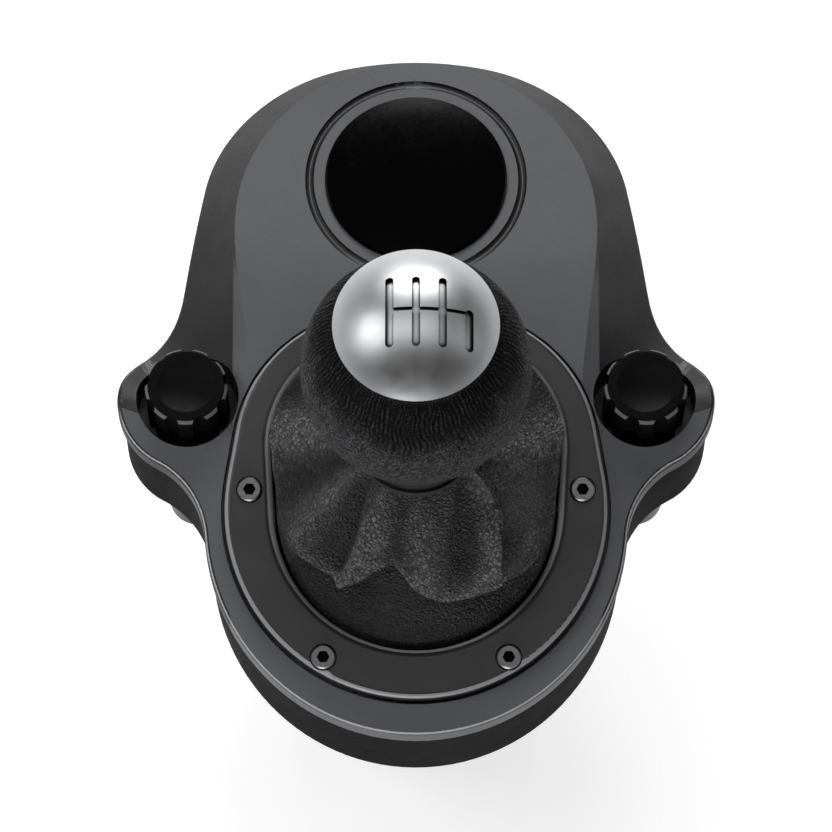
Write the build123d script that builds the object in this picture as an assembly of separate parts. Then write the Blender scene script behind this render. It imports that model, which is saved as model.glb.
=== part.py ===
from build123d import *
import math
import os

# Sim racing gear shifter with a table clamp, in millimetres.
# X points to the right, Y away from the driver, Z up. The origin is under the
# middle of the shifter, on the level of the tub's floor.

# Shared sizes
EAR_Z = 110.0                 # level of the deck at the thumb knobs
EAR_Y = -3.6
DECK_SLOPE = 13.0             # degrees, the front deck falls toward the driver
PLATEAU_Z = 116.0
BREAK_RADIUS = 80.0           # rounds the change from slope to plateau
TABLE_Z = 89.0                # underside of the rear slab
SKIRT_DEPTH = 25.0            # from the rim down to the skirt's lower edge
COVER_WALL = 2.6
COVER_EDGE = 4.0              # height of the cover's own edge at the rim
SEAM_STEP = 1.0               # the housing lies this far inside the cover's edge
HOUSING_WALL = 2.6
FLOOR_THICKNESS = 3.0
RUN_CLEARANCE = 0.05          # radial, between a pin and its bore
FREE_CLEARANCE = 0.3          # between parts that pass without touching
OVERRUN = 2.0                 # how far a cutting form runs past a face
REACH = 160.0                 # longer than the shifter in any direction

# Outline of the deck seen from above
FRONT_Y = -79.2
REAR_Y = 79.2
LOBE_RADIUS = 48.0
EAR_X = 51.6
EAR_CENTRE_Y = -4.0
EAR_RADIUS = 16.4
FRONT_HOLLOW_RADIUS = 20.0
REAR_HOLLOW_RADIUS = 34.0
SHOULDER_X = 15.5
SHOULDER_RADIUS = 34.2
SIDE_LEAN = 10.4              # degrees between the rear side and the Y axis
RIM_FILLET = 1.0

# Raised plateau and the slope that falls from it to the rim
PLATEAU_HALF_WIDTH = 42.3
PLATEAU_ARCH_Y = 36.5
FLANK_FALL = 1.06             # drop for each unit outward behind the ears
FLANK_START_Y = -4.0
FLANK_LIFT = 0.15             # keeps the flank off the deck ahead of the ears
FLANK_LIFT_END_Y = 14.0
FLANK_FRONT_Y = -45.0
FLANK_INNER = 5.0
FLANK_OUTER = 34.0
FLANK_CURVE_POINTS = 12

# Ring groove and round cover disc on the plateau
RING_Y = 48.4
RING_RADIUS = 25.6
RING_WIDTH = 2.0
RING_DEPTH = 0.7
DISC_RADIUS = 21.0
DISC_SEAT_DEPTH = 1.6
DISC_EDGE_HEIGHT = 1.0
DISC_DOME_HEIGHT = 1.4
DISC_CHAMFER = 0.4

# Bezel round the boot, drawn in the plane of the front deck
BEZEL_LOBE_Y = -26.6
BEZEL_LOBE_RADIUS = 43.3
BEZEL_SHOULDER_X = 8.0
BEZEL_SHOULDER_Y = -14.0
BEZEL_SHOULDER_RADIUS = 33.3
OPENING_LOBE_RADIUS = 32.0
OPENING_SHOULDER_Y = -12.6
OPENING_SHOULDER_RADIUS = 24.8
BEZEL_GAP = 0.8
BEZEL_HEIGHT = 2.8            # above the deck
BEZEL_EDGE_FILLET = 1.4
BEZEL_INNER_FILLET = 2.2
BEZEL_RECESS = 3.2            # below the deck
RETAINER_THICKNESS = 1.2
BOOT_THICKNESS = 1.2
FLANGE_MARGIN = 4.5
OPENING_PAD = 3.0

# Socket cap screws of the bezel
BEZEL_SCREW_PLACES = [(37.6, -22.3), (20.8, -60.4), (22.0, 12.0)]
CAP_HEAD_RADIUS = 2.75
CAP_HEAD_HEIGHT = 3.0
CAP_HEAD_CHAMFER = 0.35
CAP_SINK = 2.3
HEX_RADIUS = 1.45
HEX_DEPTH = 1.6
SCREW_RADIUS = 1.5
BEZEL_SCREW_LENGTH = 10.5
SCREW_BOSS_RADIUS = 3.4
SCREW_BOSS_DEPTH = 7.5

# Table clamps under the two ears
CLAMP_X = 52.0
CUP_RADIUS = 11.7
CUP_FLOOR_Z = 99.0
CUP_WALL = 1.6
KNOB_RADIUS = 9.4
KNOB_TOP_Z = 115.4
KNOB_LOBES = 9
KNOB_NOTCH_RADIUS = 2.1
KNOB_NOTCH_SINK = 1.0
KNOB_DISH_RADIUS = 6.6
KNOB_DISH_DEPTH = 0.9
KNOB_TOP_FILLET = 1.2
CLAMP_SCREW_RADIUS = 4.0
CLAMP_SCREW_END_Z = 47.4
CLAMP_SCREW_HEX_RADIUS = 3.4
CLAMP_SCREW_HEX_HEIGHT = 7.0
SEAT_RING_RADIUS = 7.0
RETAINER_CLIP_RADIUS = 6.6
RETAINER_CLIP_THICKNESS = 1.2
SEAT_RING_THICKNESS = 1.4
END_CLIP_RADIUS = 6.0
END_CLIP_THICKNESS = 1.4
END_CLIP_MARGIN = 0.8
JAW_BOSS_HEIGHT = 10.0
JAW_BOSS_RADIUS = 6.9
JAW_ARM_HEIGHT = 7.5
JAW_ARM_WIDTH = 11.0
JAW_REAR_Y = 38.0
JAW_PAD_FRONT_Y = 8.5
JAW_PAD_THICKNESS = 2.2
JAW_POCKET_DEPTH = 1.0
JAW_POCKET_MARGIN = 1.5
JAW_EDGE_FILLET = 1.5
JAW_NUT_RADIUS = 5.4
JAW_NUT_FLANGE_RADIUS = 6.4
JAW_NUT_FLANGE_HEIGHT = 1.4
JAW_FORK_X = 41.6
JAW_FORK_WIDTH = 8.6
RAIL_OUTER_X = 44.2
RAIL_INNER_X = 34.0
RAIL_WIDTH = 3.0

# Tub that hangs in front of the table's edge
TUB_TOP_Z = 94.0
TUB_REAR_Y = 6.0
TUB_LOW_HALF_WIDTH = 30.0
TUB_TOP_HALF_WIDTH = 43.0
TUB_LOW_SHOULDER_Y = -40.0
TUB_TOP_SHOULDER_Y = -48.0
TUB_LOW_FRONT_Y = -52.0
TUB_TOP_FRONT_Y = -77.2
TUB_WALL = 2.6
TUB_CORNER = 6.0
BOTTOM_THICKNESS = 2.5
BOTTOM_SCREW_PLACES = [(25.5, 0.3), (25.0, -38.0)]
BOTTOM_SCREW_LENGTH = 9.0
BOTTOM_POST_HEIGHT = 10.0

# Screws that join the cover to the housing from below
HOUSING_SCREW_PLACES = [(44.2, -34.0), (46.4, 24.0), (34.0, 62.0)]
HOUSING_SCREW_HEAD_SINK = 1.4
HOUSING_BOSS_RADIUS = 3.6
HOUSING_SCREW_REACH = 12.0

# Mounts in the underside of the rear slab
INSERT_X = 26.0
INSERT_Y = 44.0
INSERT_RADIUS = 4.2
INSERT_BORE_RADIUS = 2.5
INSERT_LENGTH = 9.0
INSERT_BOSS_RADIUS = 7.0
PAD_THICKNESS = 1.0
PAD_SINK = 0.4
PAD_HALF_LENGTH = 16.0
PAD_WIDTH = 7.0
PAD_FRONT_Y = 18.0
PAD_REAR_Y = 66.0
SIDE_PAD_X = 37.0
SIDE_PAD_Y = 30.0
SIDE_PAD_HALF_LENGTH = 12.0

# Pivot of the lever and the carrier tube that tilts about X
LEVER_Y = -26.8
PIVOT_Z = 65.0
PIN_RADIUS = 2.5
ROD_RADIUS = 5.0
ROD_BOTTOM_Z = 30.0
ROD_TOP_Z = 171.0
TUBE_RADIUS = 7.0
TUBE_BOTTOM_Z = 50.0
TUBE_TOP_Z = 142.0
BLOCK_HALF_WIDTH = 9.0
BLOCK_HALF_HEIGHT = 7.0
YOKE_HALF_WIDTH = 15.5
YOKE_HALF_LENGTH = 18.0
YOKE_OPENING_HALF_LENGTH = 12.0
YOKE_HALF_HEIGHT = 5.0
YOKE_CORNER = 3.0
SELECT_PIN_REACH = 28.0
SHIFT_PIN_REACH = 21.0

# Frame of the mechanism and its gate
FRAME_BASE_Z = 14.0
FRAME_BASE_THICKNESS = 3.0
FRAME_HALF_WIDTH = 21.0
FRAME_FRONT_Y = -49.8
FRAME_REAR_Y = 1.2
FRAME_CHAMFER = 8.0
UPRIGHT_THICKNESS = 3.6
BUSHING_RADIUS = 4.6
BUSHING_FLANGE_RADIUS = 6.2
BUSHING_FLANGE = 0.9
BEARING_HOUSING_RADIUS = 8.0
LEG_RADIUS = 3.2
LEG_PLACES = [(18.5, -29.0), (18.5, -9.0)]
UPRIGHT_FOOT_HALF_WIDTH = 12.5
UPRIGHT_TOP_HALF_WIDTH = 7.6
GATE_THICKNESS = 2.0
GATE_HALF_LENGTH = 19.0
GATE_RIGHT_X = 14.0
GATE_LEFT_X = -20.0
GATE_WINDOW_MARGIN = 4.0
GATE_SCREW_MARGIN = 2.0
GATE_SCREW_Y = 12.0
GATE_SCREW_RADIUS = 1.0
GATE_SCREW_LENGTH = 4.4
GATE_SCREW_HEAD_RADIUS = 1.8
GATE_SCREW_HEAD_HEIGHT = 1.2
GATE_PIN_RADIUS = 1.5
GATE_PIN_BOTTOM_Z = 11.0
GATE_PIN_TOP_Z = 38.0
GATE_CLEARANCE = 0.4
SELECT_STEP = 7.5             # degrees between two columns of the gate
SHIFT_THROW = 13.0            # degrees from neutral to a gear

# Small parts of the mechanism
STOP_RING_RADIUS = 9.4
STOP_RING_HEIGHT = 4.6
SPRING_RADIUS = 7.6
SPRING_WIRE = 1.1
TORSION_RADIUS = 6.2
TORSION_INNER_RADIUS = 4.4
TORSION_LENGTH = 4.6
TORSION_ARM = 13.0
TORSION_WIRE = 1.2
DETENT_BALL_RADIUS = 1.4
DETENT_BALL_GAP = 0.25
DETENT_SPRING_LENGTH = 3.4
DETENT_Y = 7.0
DETENT_DIMPLE_DEPTH = 0.2
DETENT_BORE_MARGIN = 0.1
SENSOR_SIZE = 12.0
SENSOR_DEPTH = 6.5
SENSOR_BACK = 0.5              # of the sensor, behind its shaft hole
SENSOR_CORNER = 2.0
SWITCH_WIDTH = 6.0
SWITCH_DEPTH = 4.6
SWITCH_HEIGHT = 6.0
SWITCH_RISE = 0.6
SWITCH_PLUNGER_RADIUS = 0.9
SWITCH_PLUNGER_GAP = 0.2

# Knob, collar and cap of the lever
BALL_RADIUS = 24.6
BALL_Z = 175.2
CAP_RIM_RADIUS = 17.4
CAP_RIM_RISE = 21.7
CAP_OVERHANG = 0.7
CAP_DOME_HEIGHT = 8.0
CAP_PLUG_RADIUS = 12.0
CAP_PLUG_DEPTH = 4.0
LEATHER_THICKNESS = 3.0
GROOVE_WIDTH = 1.7
GROOVE_PITCH = 5.5
GROOVE_LENGTH = 15.8
GROOVE_DEPTH = 1.0
GROOVE_CROSS_WIDTH = 0.8
COLLAR_BOTTOM_Z = 137.0
COLLAR_TOP_Z = 152.5
COLLAR_RADIUS = 12.6
COLLAR_BORE_RADIUS = 10.2
COLLAR_ROOF = 1.6
COLLAR_RIB_HEIGHT = 2.0
COLLAR_RIB_REACH = 0.7
KNOB_PIN_RADIUS = 1.5
KNOB_PIN_Z = 161.0
KNOB_PIN_REACH = 11.0

# Leather boot with its main folds
BOOT_FOLDS = 9
BOOT_HULL_STEPS = 4
BOOT_NECK_RADIUS = 8.9
BOOT_NECK_Z = 131.5
BOOT_FOLD_DEPTH = 4.6
BOOT_BASE_MARGIN = 1.1
BOOT_LEVEL_SHARES = [0.0, 0.14, 0.32, 0.52, 0.71, 0.87, 1.0]
BOOT_WIDTH_SHARES = [1.0, 1.0, 0.94, 0.79, 0.55, 0.27, -0.03]
BOOT_FOLD_SHARES = [0.05, 0.55, 0.95, 1.0, 0.75, 0.4, 0.12]
BOOT_RIDGE_SHARES = [1.0, 0.55, 0.95, 0.7, 1.0, 0.5, 0.85, 0.65, 0.9]
BOOT_TWIST = 14.0             # degrees from the base to the neck
BOOT_CLIP_Z = 139.0
BOOT_CLIP_HEIGHT = 2.2
BOOT_CLIP_THICKNESS = 0.9

# Electronics on the floor of the rear slab
BOARD_HALF_WIDTH = 15.0
BOARD_FRONT_Y = 26.0
BOARD_REAR_Y = 62.0
BOARD_THICKNESS = 1.6
BOARD_POST_HEIGHT = 5.0
BOARD_POST_RADIUS = 2.4
CHIP_SIZE = 7.0
CHIP_HEIGHT = 1.2
PLUG_WIDTH = 12.0
PLUG_DEPTH = 7.0
PLUG_HEIGHT = 5.0
PLUG_WALL = 1.0
GLAND_RADIUS = 4.4
GLAND_BORE_RADIUS = 2.4
GLAND_FLANGE_RADIUS = 6.0
GLAND_FLANGE = 1.6
GLAND_Z = 101.0


def disc(radius, low, high, x=0, y=0):
    """Upright cylinder between two levels."""
    return Pos(x, y, low) * Cylinder(radius, high - low, align=(Align.CENTER, Align.CENTER, Align.MIN))


def sleeve(outer, inner, low, high, x=0, y=0):
    """Upright tube between two levels."""
    return disc(outer, low, high, x, y) - disc(inner, low - OVERRUN, high + OVERRUN, x, y)


def block(x_low, x_high, y_low, y_high, z_low, z_high):
    """Box between three pairs of planes."""
    size = (x_high - x_low, y_high - y_low, z_high - z_low)
    return Pos(x_low, y_low, z_low) * Box(*size, align=(Align.MIN, Align.MIN, Align.MIN))


def bar_x(radius, x_low, x_high, y, z):
    """Cylinder along X."""
    form = Cylinder(radius, x_high - x_low, align=(Align.CENTER, Align.CENTER, Align.MIN))
    return Pos(x_low, y, z) * Rot(Y=90) * form


def bar_y(radius, y_low, y_high, x, z):
    """Cylinder along Y."""
    form = Cylinder(radius, y_high - y_low, align=(Align.CENTER, Align.CENTER, Align.MIN))
    return Pos(x, y_low, z) * Rot(X=-90) * form


def hexagon(radius, low, high, x=0, y=0):
    """Upright six-sided bar, radius to its corners."""
    return Pos(x, y, low) * extrude(RegularPolygon(radius, 6), high - low)


def both_sides(form):
    """A form and its mirror image across the middle plane."""
    return [form, form.mirror(Plane.YZ)]


def join(forms):
    """One solid or group from a list of forms."""
    total = forms[0]
    for form in forms[1:]:
        total = total + form
    return total


def write(name, form, colour):
    """Save one named piece."""
    if not isinstance(form, Compound):
        form = Compound(children=[form]) if isinstance(form, (list, tuple)) else form
    form.label = name
    form.color = Color(*colour)
    export_step(form, os.path.join("parts", name + ".step"))


def group(forms):
    """Several separate solids held as one node."""
    solids = []
    for form in forms:
        solids.extend(form.solids())
    return Compound(solids)


def unit(vector):
    """Direction of a plane vector."""
    length = math.hypot(vector[0], vector[1])
    return (vector[0] / length, vector[1] / length)


def toward(start, end, distance):
    """Point at a distance from start on the way to end."""
    way = unit((end[0] - start[0], end[1] - start[1]))
    return (start[0] + way[0] * distance, start[1] + way[1] * distance)


def arc(centre, start, end):
    """Edge along a circle, the short way round."""
    middle = toward(centre, (start[0] + end[0] - centre[0], start[1] + end[1] - centre[1]),
                    math.dist(centre, start))
    return Edge.make_three_point_arc(start, middle, end)


def touching_centre(first, first_radius, second, second_radius, radius):
    """Centre of a circle that touches two others from outside, on the right."""
    reach_first = first_radius + radius
    reach_second = second_radius + radius
    gap = math.dist(first, second)
    along = (reach_first ** 2 - reach_second ** 2 + gap ** 2) / (2 * gap)
    aside = math.sqrt(reach_first ** 2 - along ** 2)
    way = unit((second[0] - first[0], second[1] - first[1]))
    return (first[0] + way[0] * along + way[1] * aside, first[1] + way[1] * along - way[0] * aside)


def rim_edges(inset):
    """Right half of the deck's outline, from the front to the rear."""
    lobe = (0, FRONT_Y + LOBE_RADIUS)
    ear = (EAR_X, EAR_CENTRE_Y)
    shoulder = (SHOULDER_X, REAR_Y - SHOULDER_RADIUS)
    front_hollow = touching_centre(lobe, LOBE_RADIUS, ear, EAR_RADIUS, FRONT_HOLLOW_RADIUS)
    side = (math.cos(math.radians(SIDE_LEAN)), math.sin(math.radians(SIDE_LEAN)))
    shift = SHOULDER_RADIUS + REAR_HOLLOW_RADIUS
    base = (shoulder[0] + side[0] * shift, shoulder[1] + side[1] * shift)
    offset = (base[0] - ear[0], base[1] - ear[1])
    half = offset[1] * side[0] - offset[0] * side[1]
    rest = math.dist(base, ear) ** 2 - (EAR_RADIUS + REAR_HOLLOW_RADIUS) ** 2
    slide = -half + math.sqrt(half ** 2 - rest)
    rear_hollow = (base[0] - side[1] * slide, base[1] + side[0] * slide)
    front = (0, FRONT_Y + inset)
    lobe_end = toward(lobe, front_hollow, LOBE_RADIUS - inset)
    ear_start = toward(ear, front_hollow, EAR_RADIUS - inset)
    ear_end = toward(ear, rear_hollow, EAR_RADIUS - inset)
    reach = REAR_HOLLOW_RADIUS + inset
    side_start = (rear_hollow[0] - side[0] * reach, rear_hollow[1] - side[1] * reach)
    reach = SHOULDER_RADIUS - inset
    side_end = (shoulder[0] + side[0] * reach, shoulder[1] + side[1] * reach)
    shoulder_end = (SHOULDER_X, REAR_Y - inset)
    return [
        arc(lobe, front, lobe_end),
        arc(front_hollow, lobe_end, ear_start),
        arc(ear, ear_start, ear_end),
        arc(rear_hollow, ear_end, side_start),
        Edge.make_line(side_start, side_end),
        arc(shoulder, side_end, shoulder_end),
        Edge.make_line(shoulder_end, (0, REAR_Y - inset)),
    ]


def rim_prism(inset):
    """The outline raised through all levels."""
    half = rim_edges(inset)
    face = make_face(half + [edge.mirror(Plane.YZ) for edge in half])
    return extrude(face, REACH)


def slope_tangent():
    return math.tan(math.radians(DECK_SLOPE))


BREAK_Y = EAR_Y + (PLATEAU_Z - EAR_Z) / slope_tangent()
BREAK_REACH = BREAK_RADIUS * math.tan(math.radians(DECK_SLOPE / 2))
BREAK_START_Y = BREAK_Y - BREAK_REACH * math.cos(math.radians(DECK_SLOPE))
BREAK_END_Y = BREAK_Y + BREAK_REACH


def deck_height(y):
    """Level of the deck's middle at a distance along Y."""
    if y <= BREAK_START_Y:
        return EAR_Z + (y - EAR_Y) * slope_tangent()
    if y >= BREAK_END_Y:
        return PLATEAU_Z
    return PLATEAU_Z - BREAK_RADIUS + math.sqrt(BREAK_RADIUS ** 2 - (BREAK_END_Y - y) ** 2)


def deck_profile(drop):
    """Everything under the deck's middle profile, lowered by a drop."""
    def place(y, z):
        return (-REACH, y, z)

    middle_y = (BREAK_START_Y + BREAK_END_Y) / 2
    start = place(BREAK_START_Y, deck_height(BREAK_START_Y) - drop)
    middle = place(middle_y, deck_height(middle_y) - drop)
    end = place(BREAK_END_Y, PLATEAU_Z - drop)
    front = place(-REACH, deck_height(-REACH) - drop)
    corners = [end, place(REACH, PLATEAU_Z - drop), place(REACH, -REACH), place(-REACH, -REACH), front, start]
    edges = [Edge.make_three_point_arc(start, middle, end)]
    edges += [Edge.make_line(a, b) for a, b in zip(corners, corners[1:])]
    return extrude(make_face(edges), 2 * REACH, dir=(1, 0, 0))


def ease(share):
    """Smooth step from 0 to 1."""
    share = min(max(share, 0), 1)
    return share * share * (3 - 2 * share)


def flank_point(station, distance, drop):
    """Point of the flank's surface outside the plateau's edge.

    Stations up to 1 run back along the straight edge, and from 1 to 2 round
    the arch to the middle of the rear."""
    if station <= 1:
        y = FLANK_FRONT_Y + (PLATEAU_ARCH_Y - FLANK_FRONT_Y) * station
        place = (PLATEAU_HALF_WIDTH + distance, y)
    else:
        y = PLATEAU_ARCH_Y
        angle = math.radians(90) * (station - 1)
        reach = PLATEAU_HALF_WIDTH + distance
        place = (reach * math.cos(angle), PLATEAU_ARCH_Y + reach * math.sin(angle))
    fall = FLANK_FALL * ease((y - FLANK_START_Y) / (PLATEAU_ARCH_Y - FLANK_START_Y))
    lift = FLANK_LIFT * (1 - ease((y - FLANK_START_Y) / (FLANK_LIFT_END_Y - FLANK_START_Y)))
    return (place[0], place[1], deck_height(y) + lift - fall * distance - drop)


def flank_cutters(drop):
    """Space above the two flanks, lowered by a drop."""
    def rail(distance):
        count = FLANK_CURVE_POINTS
        straight = [flank_point(step / count, distance, drop) for step in range(count)]
        arch = [flank_point(1 + step / count, distance, drop) for step in range(count + 1)]
        return Edge.make_spline(straight + arch)

    sheet = Face.make_surface_from_curves(rail(-FLANK_INNER), rail(FLANK_OUTER))
    return both_sides(Solid.extrude(sheet, (0, 0, REACH)))


def deck_form(drop, inset):
    """The shifter's outer form under the deck, lowered by a drop and drawn in."""
    form = rim_prism(inset) & deck_profile(drop)
    for cutter in flank_cutters(drop):
        form = form - cutter
    return form


def rounded_deck():
    """The outer form with its rim rounded over."""
    form = deck_form(0, 0)
    rim = []
    for face in form.faces():
        if face.bounding_box().min.Z < RIM_FILLET and face.bounding_box().max.Z > RIM_FILLET:
            rim += [edge for edge in face.edges() if edge.bounding_box().min.Z > RIM_FILLET]
    return fillet(rim, RIM_FILLET)


def on_deck(form):
    """Move a form from the deck's own plane to its place."""
    return Pos(0, EAR_Y, EAR_Z) * Rot(X=DECK_SLOPE) * form


def hull_face(lobe_radius, shoulder_y, shoulder_radius, inset):
    """Rounded outline round a front circle and two smaller shoulder circles."""
    lobe = (0, BEZEL_LOBE_Y)
    shoulder = (BEZEL_SHOULDER_X, shoulder_y)
    way = unit((shoulder[0] - lobe[0], shoulder[1] - lobe[1]))
    along = (lobe_radius - shoulder_radius) / math.dist(lobe, shoulder)
    aside = math.sqrt(1 - along ** 2)
    normal = (way[0] * along + way[1] * aside, way[1] * along - way[0] * aside)
    reach = lobe_radius - inset
    lobe_end = (lobe[0] + normal[0] * reach, lobe[1] + normal[1] * reach)
    lobe_start = (0, lobe[1] - reach)
    reach = shoulder_radius - inset
    shoulder_start = (shoulder[0] + normal[0] * reach, shoulder[1] + normal[1] * reach)
    shoulder_end = (shoulder[0], shoulder[1] + reach)
    half = [
        arc(lobe, lobe_start, lobe_end),
        Edge.make_line(lobe_end, shoulder_start),
        arc(shoulder, shoulder_start, shoulder_end),
        Edge.make_line(shoulder_end, (0, shoulder_end[1])),
    ]
    return make_face(half + [edge.mirror(Plane.YZ) for edge in half])


def bezel_form(low, high, inset):
    """Bezel outline between two levels of the deck's plane."""
    face = hull_face(BEZEL_LOBE_RADIUS, BEZEL_SHOULDER_Y, BEZEL_SHOULDER_RADIUS, inset)
    return Pos(0, 0, low) * extrude(face, high - low)


def opening_form(low, high, inset):
    """Opening for the boot between two levels of the deck's plane."""
    face = hull_face(OPENING_LOBE_RADIUS, OPENING_SHOULDER_Y, OPENING_SHOULDER_RADIUS, inset)
    return Pos(0, 0, low) * extrude(face, high - low)


def bezel_screw_places():
    """Six places, mirrored left to right."""
    return [(side * x, y) for x, y in BEZEL_SCREW_PLACES for side in (1, -1)]


def housing_screw_places():
    return [(side * x, y) for x, y in HOUSING_SCREW_PLACES for side in (1, -1)]


FLANGE_LOW = -BEZEL_RECESS + RETAINER_THICKNESS
FLANGE_HIGH = FLANGE_LOW + BOOT_THICKNESS
HOUSING_INSET = SEAM_STEP + HOUSING_WALL


def floor_level(y):
    """Underside of the skirt and the rear slab."""
    return min(deck_height(y) - SKIRT_DEPTH, TABLE_Z)


def under_floor(rise):
    """Everything under the housing's floor, raised by a rise."""
    return deck_profile(SKIRT_DEPTH - rise) & block(-REACH, REACH, -REACH, REACH, -REACH, TABLE_Z + rise)


def cup_places():
    return [CLAMP_X, -CLAMP_X]


def ring_groove():
    """Shallow round groove in the plateau, its section an arc of a circle."""
    bore = (RING_WIDTH ** 2 / 4 + RING_DEPTH ** 2) / (2 * RING_DEPTH)
    ring = Torus(RING_RADIUS - RING_WIDTH / 2, bore)
    return Pos(0, RING_Y, PLATEAU_Z - RING_DEPTH + bore) * ring


def make_top_cover():
    """Deck shell with the two cups, the bezel's recess and the screw bosses."""
    cover = rounded_deck() - deck_form(COVER_WALL, COVER_WALL) - deck_form(COVER_EDGE, -OVERRUN)
    inside = deck_form(COVER_WALL / 2, COVER_WALL / 2)
    cup_low = CUP_FLOOR_Z - CUP_WALL
    added = [disc(CUP_RADIUS + CUP_WALL, cup_low, PLATEAU_Z, x, EAR_Y) for x in cup_places()]
    added.append(on_deck(bezel_form(-BEZEL_RECESS - OPENING_PAD, 0, -BEZEL_GAP - CUP_WALL)))
    for x, y in bezel_screw_places():
        added.append(on_deck(disc(SCREW_BOSS_RADIUS, -BEZEL_RECESS - SCREW_BOSS_DEPTH, 0, x, y)))
    for x, y in housing_screw_places():
        low = floor_level(y) + HOUSING_SCREW_REACH - FLOOR_THICKNESS
        added.append(disc(HOUSING_BOSS_RADIUS, low, PLATEAU_Z, x, y))
    cover = cover + (join(added) & inside)
    cut = [disc(CUP_RADIUS, CUP_FLOOR_Z, REACH, x, EAR_Y) for x in cup_places()]
    cut += [disc(CLAMP_SCREW_RADIUS + RUN_CLEARANCE, 0, REACH, x, EAR_Y) for x in cup_places()]
    cut.append(on_deck(bezel_form(-BEZEL_RECESS, REACH, -BEZEL_GAP)))
    cut.append(on_deck(opening_form(-REACH, REACH, 0)))
    cut.append(ring_groove())
    cut.append(disc(DISC_RADIUS + RUN_CLEARANCE, PLATEAU_Z - DISC_SEAT_DEPTH, REACH, 0, RING_Y))
    bore = SCREW_RADIUS + RUN_CLEARANCE
    for x, y in bezel_screw_places():
        cut.append(on_deck(disc(bore, -BEZEL_RECESS - SCREW_BOSS_DEPTH - OVERRUN, REACH, x, y)))
    for x, y in housing_screw_places():
        top = floor_level(y) + HOUSING_SCREW_REACH + HOUSING_SCREW_HEAD_SINK
        cut.append(disc(bore, 0, top, x, y))
    cut.append(deck_form(COVER_EDGE, -OVERRUN) - rim_prism(HOUSING_INSET))
    for tool in cut:
        cover = cover - tool
    return cover


def tub_section(share, inset):
    """Outline of the tub at a share of its height."""
    def between(low, high):
        return low + (high - low) * share

    half = between(TUB_LOW_HALF_WIDTH, TUB_TOP_HALF_WIDTH) - inset
    shoulder = between(TUB_LOW_SHOULDER_Y, TUB_TOP_SHOULDER_Y)
    front = between(TUB_LOW_FRONT_Y, TUB_TOP_FRONT_Y) + inset
    rear = TUB_REAR_Y - inset
    z = TUB_TOP_Z * share
    edges = [
        Edge.make_three_point_arc((-half, shoulder, z), (0, front, z), (half, shoulder, z)),
        Edge.make_line((half, shoulder, z), (half, rear, z)),
        Edge.make_line((half, rear, z), (-half, rear, z)),
        Edge.make_line((-half, rear, z), (-half, shoulder, z)),
    ]
    face = make_face(edges)
    return fillet(face.vertices(), TUB_CORNER - inset)


def tub_form(inset):
    """Solid tub drawn in by an inset."""
    return loft([tub_section(0, inset), tub_section(1, inset)], ruled=True)


def rail_form(x, width, low, high):
    """Upright rail that guides a jaw, on the side of x."""
    near, far = sorted((math.copysign(RAIL_INNER_X, x), math.copysign(RAIL_OUTER_X, x)))
    return block(near, far, EAR_Y - width / 2, EAR_Y + width / 2, low, high)


def board_post_places():
    inset = 2 * BOARD_POST_RADIUS
    xs = (BOARD_HALF_WIDTH - inset, inset - BOARD_HALF_WIDTH)
    return [(x, y) for x in xs for y in (BOARD_FRONT_Y + inset, BOARD_REAR_Y - inset)]


def pad_boxes(low, high, margin):
    """Rubber pads that rest on the table, grown by a margin."""
    boxes = []
    for y in (PAD_FRONT_Y, PAD_REAR_Y):
        reach = PAD_HALF_LENGTH + margin
        half = PAD_WIDTH / 2 + margin
        boxes.append(block(-reach, reach, y - half, y + half, low, high))
    for x in (SIDE_PAD_X, -SIDE_PAD_X):
        reach = SIDE_PAD_HALF_LENGTH + margin
        half = PAD_WIDTH / 2 + margin
        boxes.append(block(x - half, x + half, SIDE_PAD_Y - reach, SIDE_PAD_Y + reach, low, high))
    return boxes


def bottom_screw_places():
    return [(side * x, y) for x, y in BOTTOM_SCREW_PLACES for side in (1, -1)]


def leg_places():
    return [(side * x, y) for x, y in LEG_PLACES for side in (1, -1)]


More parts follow.
